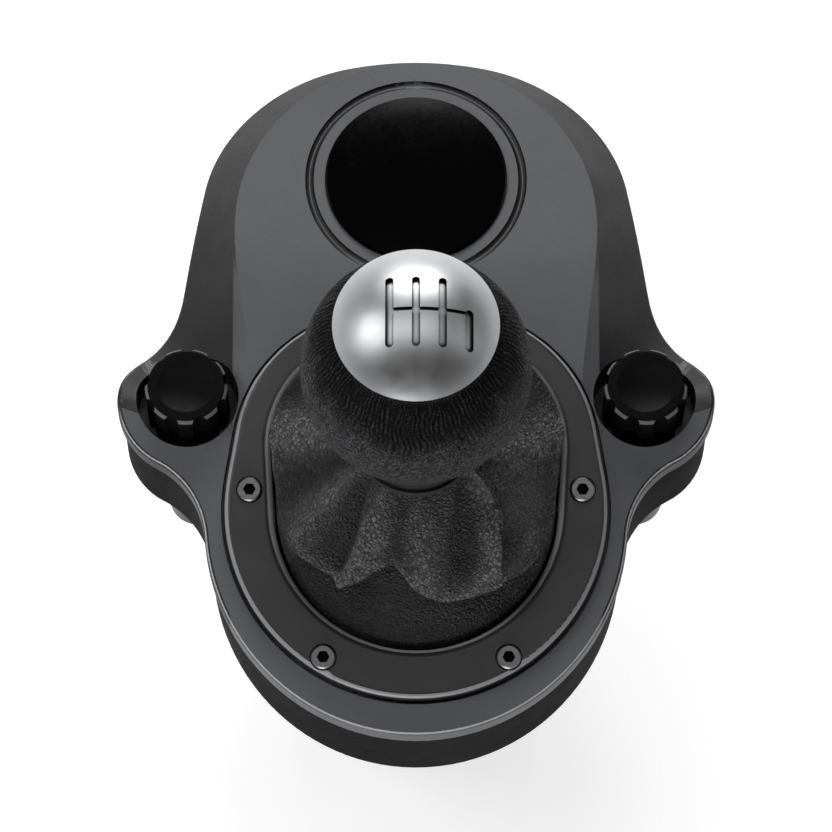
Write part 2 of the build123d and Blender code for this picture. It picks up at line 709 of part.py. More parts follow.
def make_lower_housing():
    """Skirt, floor and tub in one moulding."""
    shell = deck_form(COVER_EDGE, SEAM_STEP) - under_floor(0)
    room = rim_prism(HOUSING_INSET) - under_floor(FLOOR_THICKNESS)
    housing = shell - room
    inside = rim_prism(HOUSING_INSET - OVERRUN / 2)
    tub = tub_form(0) & under_floor(FLOOR_THICKNESS)
    rails = [rail_form(x, RAIL_WIDTH, jaw_low(), TABLE_Z + OVERRUN / 2) for x in cup_places()]
    housing = housing + tub
    for rail in rails:
        housing = housing + rail
    housing = housing - tub_form(TUB_WALL) - block(-REACH, REACH, -REACH, REACH, -REACH, BOTTOM_THICKNESS)
    for x, y in housing_screw_places():
        low = floor_level(y) + OVERRUN / 2
        high = floor_level(y) + HOUSING_SCREW_REACH - FLOOR_THICKNESS
        housing = housing + (disc(HOUSING_BOSS_RADIUS, low, high, x, y) & inside)
        housing = housing - disc(SCREW_RADIUS + RUN_CLEARANCE, 0, REACH, x, y)
        seat = floor_level(y) + HOUSING_SCREW_HEAD_SINK + CAP_HEAD_HEIGHT
        housing = housing - disc(CAP_HEAD_RADIUS + FREE_CLEARANCE, 0, seat, x, y)
    floor_top = TABLE_Z + FLOOR_THICKNESS
    for x in (INSERT_X, -INSERT_X):
        housing = housing + disc(INSERT_BOSS_RADIUS, TABLE_Z, TABLE_Z + INSERT_LENGTH + CUP_WALL, x, INSERT_Y)
        housing = housing - disc(INSERT_RADIUS, 0, TABLE_Z + INSERT_LENGTH, x, INSERT_Y)
    for x, y in board_post_places():
        high = floor_top + BOARD_POST_HEIGHT
        housing = housing + disc(BOARD_POST_RADIUS, floor_top - OVERRUN / 2, high, x, y)
        housing = housing - disc(GATE_SCREW_RADIUS + RUN_CLEARANCE, floor_top, REACH, x, y)
    for x, y in bottom_screw_places():
        top = BOTTOM_THICKNESS + BOTTOM_POST_HEIGHT
        post = disc(HOUSING_BOSS_RADIUS, BOTTOM_THICKNESS, top, x, y) & tub_form(TUB_WALL / 2)
        housing = housing + post - disc(SCREW_RADIUS + RUN_CLEARANCE, 0, top - CUP_WALL, x, y)
    for x in cup_places():
        housing = housing - disc(CLAMP_SCREW_RADIUS + FREE_CLEARANCE, 0, REACH, x, EAR_Y)
    for box in pad_boxes(TABLE_Z - OVERRUN, TABLE_Z + PAD_SINK, 0):
        housing = housing - box
    return housing - bar_y(GLAND_RADIUS, REAR_Y - HOUSING_INSET - OVERRUN, REACH, 0, GLAND_Z)


def make_bottom_cover():
    """Floor plate of the tub, with its countersunk screw holes."""
    plate = tub_form(0) & block(-REACH, REACH, -REACH, REACH, 0, BOTTOM_THICKNESS)
    for x, y in bottom_screw_places() + leg_places():
        plate = plate - disc(SCREW_RADIUS + RUN_CLEARANCE, -OVERRUN, BOTTOM_THICKNESS + OVERRUN, x, y)
        plate = plate - bottom_screw_cone(x, y)
    return plate


def bottom_screw_cone(x, y):
    """Countersunk head, flush with the underside."""
    height = CAP_HEAD_RADIUS - SCREW_RADIUS
    align = (Align.CENTER, Align.CENTER, Align.MIN)
    return Pos(x, y, 0) * Cone(CAP_HEAD_RADIUS, SCREW_RADIUS, height, align=align)


def make_countersunk_screws(places):
    screws = []
    for x, y in places:
        screw = bottom_screw_cone(x, y) + disc(SCREW_RADIUS, 0, BOTTOM_SCREW_LENGTH, x, y)
        screws.append(screw - hexagon(HEX_RADIUS / 2 + RUN_CLEARANCE, 0, HEX_DEPTH / 2, x, y))
    return group(screws)


def cap_screw(length):
    """Socket cap screw, its head's underside at zero and its shank below."""
    head = disc(CAP_HEAD_RADIUS, 0, CAP_HEAD_HEIGHT)
    head = chamfer(head.edges().group_by(Axis.Z)[-1], CAP_HEAD_CHAMFER)
    head = head - hexagon(HEX_RADIUS, CAP_HEAD_HEIGHT - HEX_DEPTH, CAP_HEAD_HEIGHT + OVERRUN)
    return head + disc(SCREW_RADIUS, -length, 0)


def make_bezel_screws():
    seat = BEZEL_HEIGHT - CAP_SINK
    screw = cap_screw(BEZEL_SCREW_LENGTH)
    return group([on_deck(Pos(x, y, seat) * screw) for x, y in bezel_screw_places()])


def make_housing_screws():
    screws = []
    for x, y in housing_screw_places():
        seat = floor_level(y) + HOUSING_SCREW_HEAD_SINK + CAP_HEAD_HEIGHT
        screw = Rot(X=180) * cap_screw(HOUSING_SCREW_REACH - CAP_HEAD_HEIGHT)
        screws.append(Pos(x, y, seat) * screw)
    return group(screws)


def make_cover_disc():
    """Bare domed disc in the middle of the ring."""
    low = PLATEAU_Z - DISC_SEAT_DEPTH
    top = PLATEAU_Z + DISC_EDGE_HEIGHT
    inner = DISC_RADIUS - DISC_CHAMFER
    bevel = Pos(0, RING_Y, top - DISC_CHAMFER / 2) * Cone(DISC_RADIUS, inner, DISC_CHAMFER)
    body = disc(DISC_RADIUS, low, top - DISC_CHAMFER, 0, RING_Y) + bevel
    return body + dome(inner, DISC_DOME_HEIGHT, 0, RING_Y, top)


def dome(radius, height, x, y, z):
    """Cap of a ball, its flat side down."""
    ball = (radius ** 2 + height ** 2) / (2 * height)
    centre = z + height - ball
    return Pos(x, y, centre) * Sphere(ball) & disc(radius, z, z + height + OVERRUN, x, y)


def make_bezel():
    """Crowned ring that holds the boot, with its counterbored screw holes."""
    ring = bezel_form(FLANGE_HIGH, BEZEL_HEIGHT, 0)
    ring = fillet(ring.edges().group_by(Axis.Z)[-1], BEZEL_EDGE_FILLET)
    ring = ring - opening_form(FLANGE_HIGH - OVERRUN, BEZEL_HEIGHT + OVERRUN, 0)
    inner = [e for e in ring.edges().group_by(Axis.Z)[-1] if on_opening(e)]
    ring = fillet(inner, BEZEL_INNER_FILLET)
    for x, y in bezel_screw_places():
        ring = ring - disc(SCREW_RADIUS + RUN_CLEARANCE, -REACH, REACH, x, y)
        ring = ring - disc(CAP_HEAD_RADIUS + FREE_CLEARANCE, BEZEL_HEIGHT - CAP_SINK, REACH, x, y)
    return on_deck(ring)


def on_opening(edge):
    """Whether an edge of the bezel lies on its opening."""
    middle = edge.position_at(0.5)
    return math.hypot(middle.X, middle.Y - BEZEL_LOBE_Y) < (OPENING_LOBE_RADIUS + BEZEL_LOBE_RADIUS) / 2


def make_retainer():
    """Flat steel ring under the boot's flange."""
    plate = bezel_form(-BEZEL_RECESS, FLANGE_LOW, RUN_CLEARANCE) - opening_form(-REACH, REACH, 0)
    for x, y in bezel_screw_places():
        plate = plate - disc(SCREW_RADIUS + RUN_CLEARANCE, -REACH, REACH, x, y)
    return on_deck(plate)


def opening_reach(angle):
    """Distance from the front circle's middle to the opening's edge."""
    way = (abs(math.cos(angle)), math.sin(angle))
    best = 0
    for step in range(BOOT_HULL_STEPS + 1):
        share = step / BOOT_HULL_STEPS
        centre = (BEZEL_SHOULDER_X * share, (OPENING_SHOULDER_Y - BEZEL_LOBE_Y) * share)
        radius = OPENING_LOBE_RADIUS + (OPENING_SHOULDER_RADIUS - OPENING_LOBE_RADIUS) * share
        along = way[0] * centre[0] + way[1] * centre[1]
        aside = way[0] * centre[1] - way[1] * centre[0]
        best = max(best, along + math.sqrt(radius ** 2 - aside ** 2))
    return best - BOOT_BASE_MARGIN


def fold_point(index, level, inset):
    """Corner or crest of a fold on one level of the boot.

    Even indexes are the creases and odd ones the crests between them."""
    rise = BOOT_LEVEL_SHARES[level]
    width = BOOT_WIDTH_SHARES[level]
    angle = math.radians(180 * index / BOOT_FOLDS + BOOT_TWIST * rise)
    radius = BOOT_NECK_RADIUS + (opening_reach(angle) - BOOT_NECK_RADIUS) * width - inset
    if index % 2 == 0:
        sink = BOOT_RIDGE_SHARES[index // 2 % BOOT_FOLDS] * BOOT_FOLD_SHARES[level]
        radius = radius - BOOT_FOLD_DEPTH * sink
    return (radius * math.cos(angle), radius * math.sin(angle))


def boot_section(level, inset):
    """One level of the boot, in a plane that turns from the deck to level."""
    rise = BOOT_LEVEL_SHARES[level]
    base_y = EAR_Y + BEZEL_LOBE_Y * math.cos(math.radians(DECK_SLOPE))
    base_z = EAR_Z + BEZEL_LOBE_Y * math.sin(math.radians(DECK_SLOPE)) + FLANGE_LOW
    y = base_y + (LEVER_Y - base_y) * rise
    z = base_z + (BOOT_NECK_Z - base_z) * rise
    edges = []
    for fold in range(BOOT_FOLDS):
        start, crest, end = (fold_point(2 * fold + step, level, inset) for step in range(3))
        edges.append(Edge.make_three_point_arc(start, crest, end))
    return Pos(0, y, z) * Rot(X=DECK_SLOPE * (1 - rise)) * make_face(edges)


def boot_body(inset):
    levels = range(len(BOOT_LEVEL_SHARES))
    return loft([boot_section(level, inset) for level in levels], ruled=True)


def make_boot():
    """Folded leather boot with a flat flange below and a straight neck above."""
    radius = BOOT_NECK_RADIUS
    neck_low = BOOT_NECK_Z - OVERRUN / 2
    flange = bezel_form(FLANGE_LOW, FLANGE_HIGH, FLANGE_MARGIN)
    for x, y in bezel_screw_places():
        flange = flange - disc(SCREW_RADIUS + FREE_CLEARANCE, -REACH, REACH, x, y)
    boot = boot_body(0) + disc(radius, neck_low, TUBE_TOP_Z, 0, LEVER_Y) + on_deck(flange)
    hollow = boot_body(BOOT_THICKNESS)
    return boot - hollow - disc(radius - BOOT_THICKNESS, PIVOT_Z, REACH, 0, LEVER_Y)


def make_boot_clip():
    """Band that ties the boot's neck to the tube."""
    outer = BOOT_NECK_RADIUS + BOOT_CLIP_THICKNESS
    return sleeve(outer, BOOT_NECK_RADIUS, BOOT_CLIP_Z, BOOT_CLIP_Z + BOOT_CLIP_HEIGHT, 0, LEVER_Y)


def make_table_pads():
    return group(pad_boxes(TABLE_Z - PAD_THICKNESS, TABLE_Z + PAD_SINK, 0))


def make_mount_inserts():
    """Threaded brass inserts in the underside of the rear slab."""
    top = TABLE_Z + INSERT_LENGTH
    return group([sleeve(INSERT_RADIUS, INSERT_BORE_RADIUS, TABLE_Z, top, x, INSERT_Y)
                  for x in (INSERT_X, -INSERT_X)])


def make_cable_gland():
    """Bushing in the rear wall where a lead would leave."""
    inner = REAR_Y - HOUSING_INSET
    gland = bar_y(GLAND_FLANGE_RADIUS, inner - GLAND_FLANGE, inner, 0, GLAND_Z)
    gland = gland + bar_y(GLAND_RADIUS, inner, REAR_Y - SEAM_STEP, 0, GLAND_Z)
    return gland - bar_y(GLAND_BORE_RADIUS, 0, REACH, 0, GLAND_Z)


def make_frame():
    """Casting that carries the yoke on two uprights above the gate."""
    top = FRAME_BASE_Z + FRAME_BASE_THICKNESS
    base = block(-FRAME_HALF_WIDTH, FRAME_HALF_WIDTH, FRAME_FRONT_Y, FRAME_REAR_Y, FRAME_BASE_Z, top)
    front_edges = base.edges().filter_by(Axis.Z).group_by(Axis.Y)[0]
    frame = chamfer(front_edges, FRAME_CHAMFER)
    margin = GATE_WINDOW_MARGIN
    reach = GATE_HALF_LENGTH - margin
    low_y = LEVER_Y - reach
    frame = frame - block(GATE_LEFT_X + margin, GATE_RIGHT_X - margin, low_y, LEVER_Y + reach, 0, REACH)
    for y in (FRAME_FRONT_Y, FRAME_REAR_Y - UPRIGHT_THICKNESS):
        foot = UPRIGHT_FOOT_HALF_WIDTH
        head = UPRIGHT_TOP_HALF_WIDTH
        corners = [(-foot, y, top), (foot, y, top), (head, y, PIVOT_Z), (-head, y, PIVOT_Z)]
        face = make_face(Wire.make_polygon(corners, close=True))
        upright = extrude(face, UPRIGHT_THICKNESS, dir=(0, 1, 0))
        frame = frame + upright + bar_y(BEARING_HOUSING_RADIUS, y, y + UPRIGHT_THICKNESS, 0, PIVOT_Z)
    frame = frame - bar_y(BUSHING_RADIUS, -REACH, REACH, 0, PIVOT_Z)
    for x, y in leg_places():
        frame = frame + disc(LEG_RADIUS, BOTTOM_THICKNESS, FRAME_BASE_Z, x, y)
        frame = frame - disc(SCREW_RADIUS + RUN_CLEARANCE, 0, FRAME_BASE_Z, x, y)
    for x, y in gate_screw_places():
        frame = frame - disc(GATE_SCREW_RADIUS + RUN_CLEARANCE, 0, REACH, x, y)
    return frame


def gate_screw_places():
    xs = (GATE_LEFT_X + GATE_SCREW_MARGIN, GATE_RIGHT_X - GATE_SCREW_MARGIN)
    return [(x, LEVER_Y + side * GATE_SCREW_Y) for x in xs for side in (1, -1)]


def gate_column_x(step):
    """Place of a gate column, where the lever leans by a number of steps."""
    arm = PIVOT_Z - FRAME_BASE_Z - FRAME_BASE_THICKNESS - GATE_THICKNESS / 2
    return -arm * math.tan(math.radians(SELECT_STEP * step))


def gate_slot(x_start, x_end, y_start, y_end, half):
    """Straight slot with round ends, between two points."""
    low = FRAME_BASE_Z
    along_x = half * (y_start != y_end)
    along_y = half * (x_start != x_end)
    left, right = sorted((x_start, x_end))
    front, rear = sorted((y_start, y_end))
    slot = block(left - along_x, right + along_x, front - along_y, rear + along_y, low, REACH)
    return slot + disc(half, low, REACH, x_start, y_start) + disc(half, low, REACH, x_end, y_end)


def make_gate_plate():
    """Shift gate with three full columns and a half column for reverse."""
    low = FRAME_BASE_Z + FRAME_BASE_THICKNESS
    plate = block(GATE_LEFT_X, GATE_RIGHT_X, LEVER_Y - GATE_HALF_LENGTH, LEVER_Y + GATE_HALF_LENGTH,
                  low, low + GATE_THICKNESS)
    lean = math.radians(2 * SELECT_STEP)
    half = GATE_PIN_RADIUS / math.cos(lean) + GATE_THICKNESS / 2 * math.tan(lean) + GATE_CLEARANCE
    travel = (PIVOT_Z - low) * math.tan(math.radians(SHIFT_THROW)) / math.cos(lean)
    for step in (-1, 0, 1):
        x = gate_column_x(step)
        plate = plate - gate_slot(x, x, LEVER_Y - travel, LEVER_Y + travel, half)
    reverse = gate_column_x(2)
    plate = plate - gate_slot(reverse, reverse, LEVER_Y, LEVER_Y + travel, half)
    plate = plate - gate_slot(reverse, gate_column_x(-1), LEVER_Y, LEVER_Y, half)
    for x, y in gate_screw_places():
        plate = plate - disc(GATE_SCREW_RADIUS + RUN_CLEARANCE, 0, REACH, x, y)
    return plate


def small_screws(places, seat):
    """Small pan head screws with their heads on a seat."""
    screws = []
    for x, y in places:
        head = disc(GATE_SCREW_HEAD_RADIUS, seat, seat + GATE_SCREW_HEAD_HEIGHT, x, y)
        screws.append(head + disc(GATE_SCREW_RADIUS, seat - GATE_SCREW_LENGTH, seat, x, y))
    return group(screws)


def make_bushings():
    """Flanged bushings of the yoke, in the two uprights."""
    bore = bar_y(PIN_RADIUS + RUN_CLEARANCE, -REACH, REACH, 0, PIVOT_Z)
    front = FRAME_FRONT_Y + UPRIGHT_THICKNESS
    rear = FRAME_REAR_Y - UPRIGHT_THICKNESS
    first = bar_y(BUSHING_RADIUS, FRAME_FRONT_Y, front, 0, PIVOT_Z)
    first = first + bar_y(BUSHING_FLANGE_RADIUS, front, front + BUSHING_FLANGE, 0, PIVOT_Z)
    second = bar_y(BUSHING_RADIUS, rear, FRAME_REAR_Y, 0, PIVOT_Z)
    second = second + bar_y(BUSHING_FLANGE_RADIUS, rear - BUSHING_FLANGE, rear, 0, PIVOT_Z)
    return group([first - bore, second - bore])


def make_centring_spring():
    """Torsion spring on the rear pin of the yoke, with its two arms."""
    rear = FRAME_REAR_Y - UPRIGHT_THICKNESS - BUSHING_FLANGE - FREE_CLEARANCE
    front = rear - TORSION_LENGTH
    coil = bar_y(TORSION_RADIUS, front, rear, 0, PIVOT_Z)
    half = TORSION_WIRE / 2
    for y, side in ((front + half, 1), (rear - half, -1)):
        x = side * (TORSION_RADIUS + TORSION_INNER_RADIUS) / 2
        arm = Pos(x, y, PIVOT_Z) * Cylinder(half, TORSION_ARM, align=(Align.CENTER, Align.CENTER, Align.MIN))
        coil = coil + arm
    return coil - bar_y(TORSION_INNER_RADIUS, -REACH, REACH, 0, PIVOT_Z)


def sensor_body():
    """Rotary sensor, its shaft hole along Z and its back at zero."""
    body = extrude(Rectangle(SENSOR_SIZE, SENSOR_SIZE), SENSOR_DEPTH)
    body = chamfer(body.edges().filter_by(Axis.Z), SENSOR_CORNER)
    return body - disc(PIN_RADIUS + RUN_CLEARANCE, -OVERRUN, SENSOR_DEPTH - SENSOR_BACK)


def make_select_sensor():
    """Sensor on the front upright, read by the yoke's front pin."""
    return Pos(0, FRAME_FRONT_Y, PIVOT_Z) * Rot(X=90) * sensor_body()


def make_shift_sensor():
    """Sensor on the yoke, read by the carrier's right pin."""
    return Pos(YOKE_HALF_WIDTH, LEVER_Y, PIVOT_Z) * Rot(Y=90) * sensor_body()


def make_yoke():
    """Rectangular yoke that leans left and right about Y."""
    outer = Pos(0, LEVER_Y, PIVOT_Z) * Box(2 * YOKE_HALF_WIDTH, 2 * YOKE_HALF_LENGTH, 2 * YOKE_HALF_HEIGHT)
    outer = fillet(outer.edges().filter_by(Axis.Z), YOKE_CORNER)
    half = BLOCK_HALF_WIDTH + FREE_CLEARANCE
    reach = YOKE_OPENING_HALF_LENGTH
    yoke = outer - block(-half, half, LEVER_Y - reach, LEVER_Y + reach, 0, REACH)
    yoke = yoke - bar_y(PIN_RADIUS, -REACH, REACH, 0, PIVOT_Z)
    yoke = yoke - bar_x(PIN_RADIUS + RUN_CLEARANCE, -REACH, REACH, LEVER_Y, PIVOT_Z)
    bore = DETENT_BALL_RADIUS + DETENT_BORE_MARGIN
    end = detent_ball_x() - DETENT_BALL_RADIUS - DETENT_SPRING_LENGTH
    return yoke - bar_x(bore, end, 0, LEVER_Y + DETENT_Y, PIVOT_Z)


def detent_ball_x():
    return -BLOCK_HALF_WIDTH - DETENT_BALL_GAP - DETENT_BALL_RADIUS


def make_detent_ball():
    return Pos(detent_ball_x(), LEVER_Y + DETENT_Y, PIVOT_Z) * Sphere(DETENT_BALL_RADIUS)


def make_detent_spring():
    """Small spring behind the detent ball, drawn as its outer sleeve."""
    high = detent_ball_x() - DETENT_BALL_RADIUS
    low = high - DETENT_SPRING_LENGTH
    outer = bar_x(DETENT_BALL_RADIUS, low, high, LEVER_Y + DETENT_Y, PIVOT_Z)
    return outer - bar_x(DETENT_BALL_RADIUS / 2, -REACH, REACH, LEVER_Y + DETENT_Y, PIVOT_Z)


def make_yoke_pins():
    inner = YOKE_OPENING_HALF_LENGTH + FREE_CLEARANCE
    front = bar_y(PIN_RADIUS, LEVER_Y - SELECT_PIN_REACH, LEVER_Y - inner, 0, PIVOT_Z)
    rear = bar_y(PIN_RADIUS, LEVER_Y + inner, LEVER_Y + SELECT_PIN_REACH, 0, PIVOT_Z)
    return group([front, rear])


def make_carrier_tube():
    """Tube that tilts forward and back in the yoke and guides the rod."""
    tube = disc(TUBE_RADIUS, TUBE_BOTTOM_Z, TUBE_TOP_Z, 0, LEVER_Y)
    size = (2 * BLOCK_HALF_WIDTH, 2 * BLOCK_HALF_WIDTH, 2 * BLOCK_HALF_HEIGHT)
    body = Pos(0, LEVER_Y, PIVOT_Z) * Box(*size)
    body = chamfer(body.edges().filter_by(Axis.Z), SENSOR_CORNER / 2)
    tube = tube + body - disc(ROD_RADIUS + RUN_CLEARANCE, 0, REACH + REACH, 0, LEVER_Y)
    inner = ROD_RADIUS + 2 * FREE_CLEARANCE
    for low, high in ((inner, REACH), (-REACH, -inner)):
        tube = tube - bar_x(PIN_RADIUS, low, high, LEVER_Y, PIVOT_Z)
    bottom = DETENT_DIMPLE_DEPTH - BLOCK_HALF_WIDTH
    for turn in (-SHIFT_THROW, 0, SHIFT_THROW):
        dimple = bar_x(DETENT_BALL_RADIUS / 2, -REACH, bottom, DETENT_Y, 0)
        tube = tube - Pos(0, LEVER_Y, PIVOT_Z) * Rot(X=turn) * dimple
    return tube


def make_carrier_pins():
    inner = ROD_RADIUS + 2 * FREE_CLEARANCE
    left = bar_x(PIN_RADIUS, -YOKE_HALF_WIDTH, -inner, LEVER_Y, PIVOT_Z)
    right = bar_x(PIN_RADIUS, inner, SHIFT_PIN_REACH, LEVER_Y, PIVOT_Z)
    return group([left, right])


def make_reverse_switch():
    """Micro switch on the tube, pressed when the rod is up."""
    low = TUBE_BOTTOM_Z + SWITCH_RISE
    near = LEVER_Y - TUBE_RADIUS
    half = SWITCH_WIDTH / 2
    body = block(-half, half, near - SWITCH_DEPTH, near, low, low + SWITCH_HEIGHT)
    tip = TUBE_BOTTOM_Z - FREE_CLEARANCE + SWITCH_PLUNGER_GAP
    reach = near - (STOP_RING_RADIUS - TUBE_RADIUS) / 2
    return body + disc(SWITCH_PLUNGER_RADIUS, tip, low, 0, reach)


def make_reverse_spring():
    """Return spring between the tube's top and the collar's roof."""
    top = COLLAR_TOP_Z - COLLAR_ROOF - FREE_CLEARANCE
    return sleeve(SPRING_RADIUS, SPRING_RADIUS - SPRING_WIRE, TUBE_TOP_Z, top, 0, LEVER_Y)


def make_rod():
    rod = disc(ROD_RADIUS, ROD_BOTTOM_Z, ROD_TOP_Z, 0, LEVER_Y)
    return rod - disc(GATE_PIN_RADIUS, 0, GATE_PIN_TOP_Z, 0, LEVER_Y) - knob_pin_form()


def make_gate_pin():
    pin = disc(GATE_PIN_RADIUS, GATE_PIN_BOTTOM_Z, GATE_PIN_TOP_Z, 0, LEVER_Y)
    return fillet(pin.edges().group_by(Axis.Z)[0], GATE_PIN_RADIUS / 2)


def make_stop_ring():
    """Ring on the rod that stops it from rising out of the tube."""
    top = TUBE_BOTTOM_Z - FREE_CLEARANCE
    return sleeve(STOP_RING_RADIUS, ROD_RADIUS, top - STOP_RING_HEIGHT, top, 0, LEVER_Y)


def ball_form(inset):
    """Knob body: a ball, flat at its foot, with a short neck under the cap's rim."""
    rim = BALL_Z + CAP_RIM_RISE
    ball = Pos(0, LEVER_Y, BALL_Z) * Sphere(BALL_RADIUS - inset)
    ball = ball & disc(BALL_RADIUS, COLLAR_TOP_Z, rim, 0, LEVER_Y)
    return ball + disc(CAP_RIM_RADIUS - CAP_OVERHANG - inset, BALL_Z, rim, 0, LEVER_Y)


def make_grip():
    """Leather wrap of the ball, open for the cap and the rod."""
    grip = ball_form(0) - ball_form(LEATHER_THICKNESS)
    return grip - disc(ROD_RADIUS, 0, BALL_Z, 0, LEVER_Y)


def make_core():
    """Moulded core inside the wrap, bored for the rod and the cap's plug."""
    core = ball_form(LEATHER_THICKNESS)
    top = BALL_Z + CAP_RIM_RISE
    core = core - disc(CAP_PLUG_RADIUS, top - CAP_PLUG_DEPTH, REACH + REACH, 0, LEVER_Y)
    return core - disc(ROD_RADIUS, 0, ROD_TOP_Z, 0, LEVER_Y) - knob_pin_form()


def make_cap():
    """Aluminium cap with its domed top and the engraved shift pattern."""
    rim = BALL_Z + CAP_RIM_RISE
    top = dome(CAP_RIM_RADIUS, CAP_DOME_HEIGHT, 0, LEVER_Y, rim)
    lowered = Pos(0, 0, -GROOVE_DEPTH) * dome(CAP_RIM_RADIUS, CAP_DOME_HEIGHT, 0, LEVER_Y, rim)
    for groove in pattern_grooves():
        top = top - (groove - lowered)
    return top + disc(CAP_PLUG_RADIUS, rim - CAP_PLUG_DEPTH, rim, 0, LEVER_Y)


def pattern_grooves():
    """Three full grooves, a half groove for reverse and the line across."""
    low = BALL_Z + CAP_RIM_RISE
    high = low + CAP_DOME_HEIGHT + OVERRUN
    half = GROOVE_WIDTH / 2
    reach = GROOVE_LENGTH / 2 - half
    grooves = []
    for column in (-1, 0, 1, 2):
        x = column * GROOVE_PITCH
        rear = LEVER_Y + (reach if column < 2 else 0)
        front = LEVER_Y - reach
        slot = block(x - half, x + half, front, rear, low, high)
        slot = slot + disc(half, low, high, x, front) + disc(half, low, high, x, rear)
        grooves.append(slot)
    cross = GROOVE_CROSS_WIDTH / 2
    grooves.append(block(-GROOVE_PITCH, 2 * GROOVE_PITCH, LEVER_Y - cross, LEVER_Y + cross, low, high))
    return grooves


def make_collar():
    """Sleeve under the ball that slides over the boot's neck."""
    collar = disc(COLLAR_RADIUS, COLLAR_BOTTOM_Z, COLLAR_TOP_Z, 0, LEVER_Y)
    collar = fillet(collar.edges().group_by(Axis.Z)[-1], COLLAR_ROOF)
    rib_high = COLLAR_BOTTOM_Z + COLLAR_RIB_HEIGHT
    collar = collar + disc(COLLAR_RADIUS + COLLAR_RIB_REACH, COLLAR_BOTTOM_Z, rib_high, 0, LEVER_Y)
    collar = collar - disc(COLLAR_BORE_RADIUS, 0, COLLAR_TOP_Z - COLLAR_ROOF, 0, LEVER_Y)
    return collar - disc(ROD_RADIUS, 0, REACH, 0, LEVER_Y)


def make_board():
    """Circuit board with its chips."""
    low = TABLE_Z + FLOOR_THICKNESS + BOARD_POST_HEIGHT
    top = low + BOARD_THICKNESS
    board = block(-BOARD_HALF_WIDTH, BOARD_HALF_WIDTH, BOARD_FRONT_Y, BOARD_REAR_Y, low, top)
    half = CHIP_SIZE / 2
    middle = (BOARD_FRONT_Y + BOARD_REAR_Y) / 2
    for x, y in ((0, middle), (-CHIP_SIZE, middle - 2 * half), (CHIP_SIZE, middle - 2 * half)):
        board = board + block(x - half, x + half, y - half / 2, y + half / 2, top, top + CHIP_HEIGHT)
    for x, y in board_post_places():
        board = board - disc(GATE_SCREW_RADIUS + RUN_CLEARANCE, 0, REACH, x, y)
    return board


def make_board_plug():
    """Socket on the board for the lead."""
    low = TABLE_Z + FLOOR_THICKNESS + BOARD_POST_HEIGHT + BOARD_THICKNESS
    half = PLUG_WIDTH / 2
    wall = PLUG_WALL
    rear = BOARD_REAR_Y
    body = block(-half, half, rear - PLUG_DEPTH, rear, low, low + PLUG_HEIGHT)
    high = low + PLUG_HEIGHT
    hollow = block(wall - half, half - wall, rear - PLUG_DEPTH + wall, REACH, low + wall, high - wall)
    return body - hollow


def knob_low():
    """Underside of a thumb knob, just above its washer."""
    return CUP_FLOOR_Z + SEAT_RING_THICKNESS + FREE_CLEARANCE


def make_thumb_knob(x):
    """Lobed thumb knob with a dished top."""
    knob = disc(KNOB_RADIUS, knob_low(), KNOB_TOP_Z, x, EAR_Y)
    knob = fillet(knob.edges().group_by(Axis.Z)[-1], KNOB_TOP_FILLET)
    reach = KNOB_RADIUS + KNOB_NOTCH_RADIUS - KNOB_NOTCH_SINK
    for turn in range(KNOB_LOBES):
        angle = math.radians(360 * (turn + 0.5) / KNOB_LOBES - 90)
        place = (x + reach * math.cos(angle), EAR_Y + reach * math.sin(angle))
        knob = knob - disc(KNOB_NOTCH_RADIUS, 0, REACH, *place)
    ball = (KNOB_DISH_RADIUS ** 2 + KNOB_DISH_DEPTH ** 2) / (2 * KNOB_DISH_DEPTH)
    knob = knob - Pos(x, EAR_Y, KNOB_TOP_Z - KNOB_DISH_DEPTH + ball) * Sphere(ball)
    socket = knob_low() + CLAMP_SCREW_HEX_HEIGHT
    return knob - hexagon(CLAMP_SCREW_HEX_RADIUS, 0, socket, x, EAR_Y)


def make_clamp_screw(x):
    screw = disc(CLAMP_SCREW_RADIUS, CLAMP_SCREW_END_Z, knob_low(), x, EAR_Y)
    return screw + hexagon(CLAMP_SCREW_HEX_RADIUS, knob_low(), knob_low() + CLAMP_SCREW_HEX_HEIGHT, x, EAR_Y)


def make_clamp_clips(x):
    """Retaining ring under the cup and end clip at the screw's foot."""
    top = CUP_FLOOR_Z - CUP_WALL - FREE_CLEARANCE
    low = CLAMP_SCREW_END_Z + END_CLIP_MARGIN
    upper = sleeve(RETAINER_CLIP_RADIUS, CLAMP_SCREW_RADIUS, top - RETAINER_CLIP_THICKNESS, top, x, EAR_Y)
    lower = sleeve(END_CLIP_RADIUS, CLAMP_SCREW_RADIUS, low, low + END_CLIP_THICKNESS, x, EAR_Y)
    return group([upper, lower])


def make_clamp_washer(x):
    bore = CLAMP_SCREW_RADIUS + RUN_CLEARANCE
    return sleeve(SEAT_RING_RADIUS, bore, CUP_FLOOR_Z, CUP_FLOOR_Z + SEAT_RING_THICKNESS, x, EAR_Y)


def jaw_low():
    """Underside of a jaw at its lowest place, just above the end clip."""
    return CLAMP_SCREW_END_Z + END_CLIP_MARGIN + END_CLIP_THICKNESS + FREE_CLEARANCE


def jaw_pad_form(x, margin):
    """Rubber pad of a jaw, grown by a margin."""
    half = JAW_ARM_WIDTH / 2 - JAW_POCKET_MARGIN + margin
    low = jaw_low() + JAW_ARM_HEIGHT - JAW_POCKET_DEPTH
    rear = JAW_REAR_Y - JAW_POCKET_MARGIN
    return block(x - half, x + half, JAW_PAD_FRONT_Y, rear, low, low + JAW_PAD_THICKNESS)


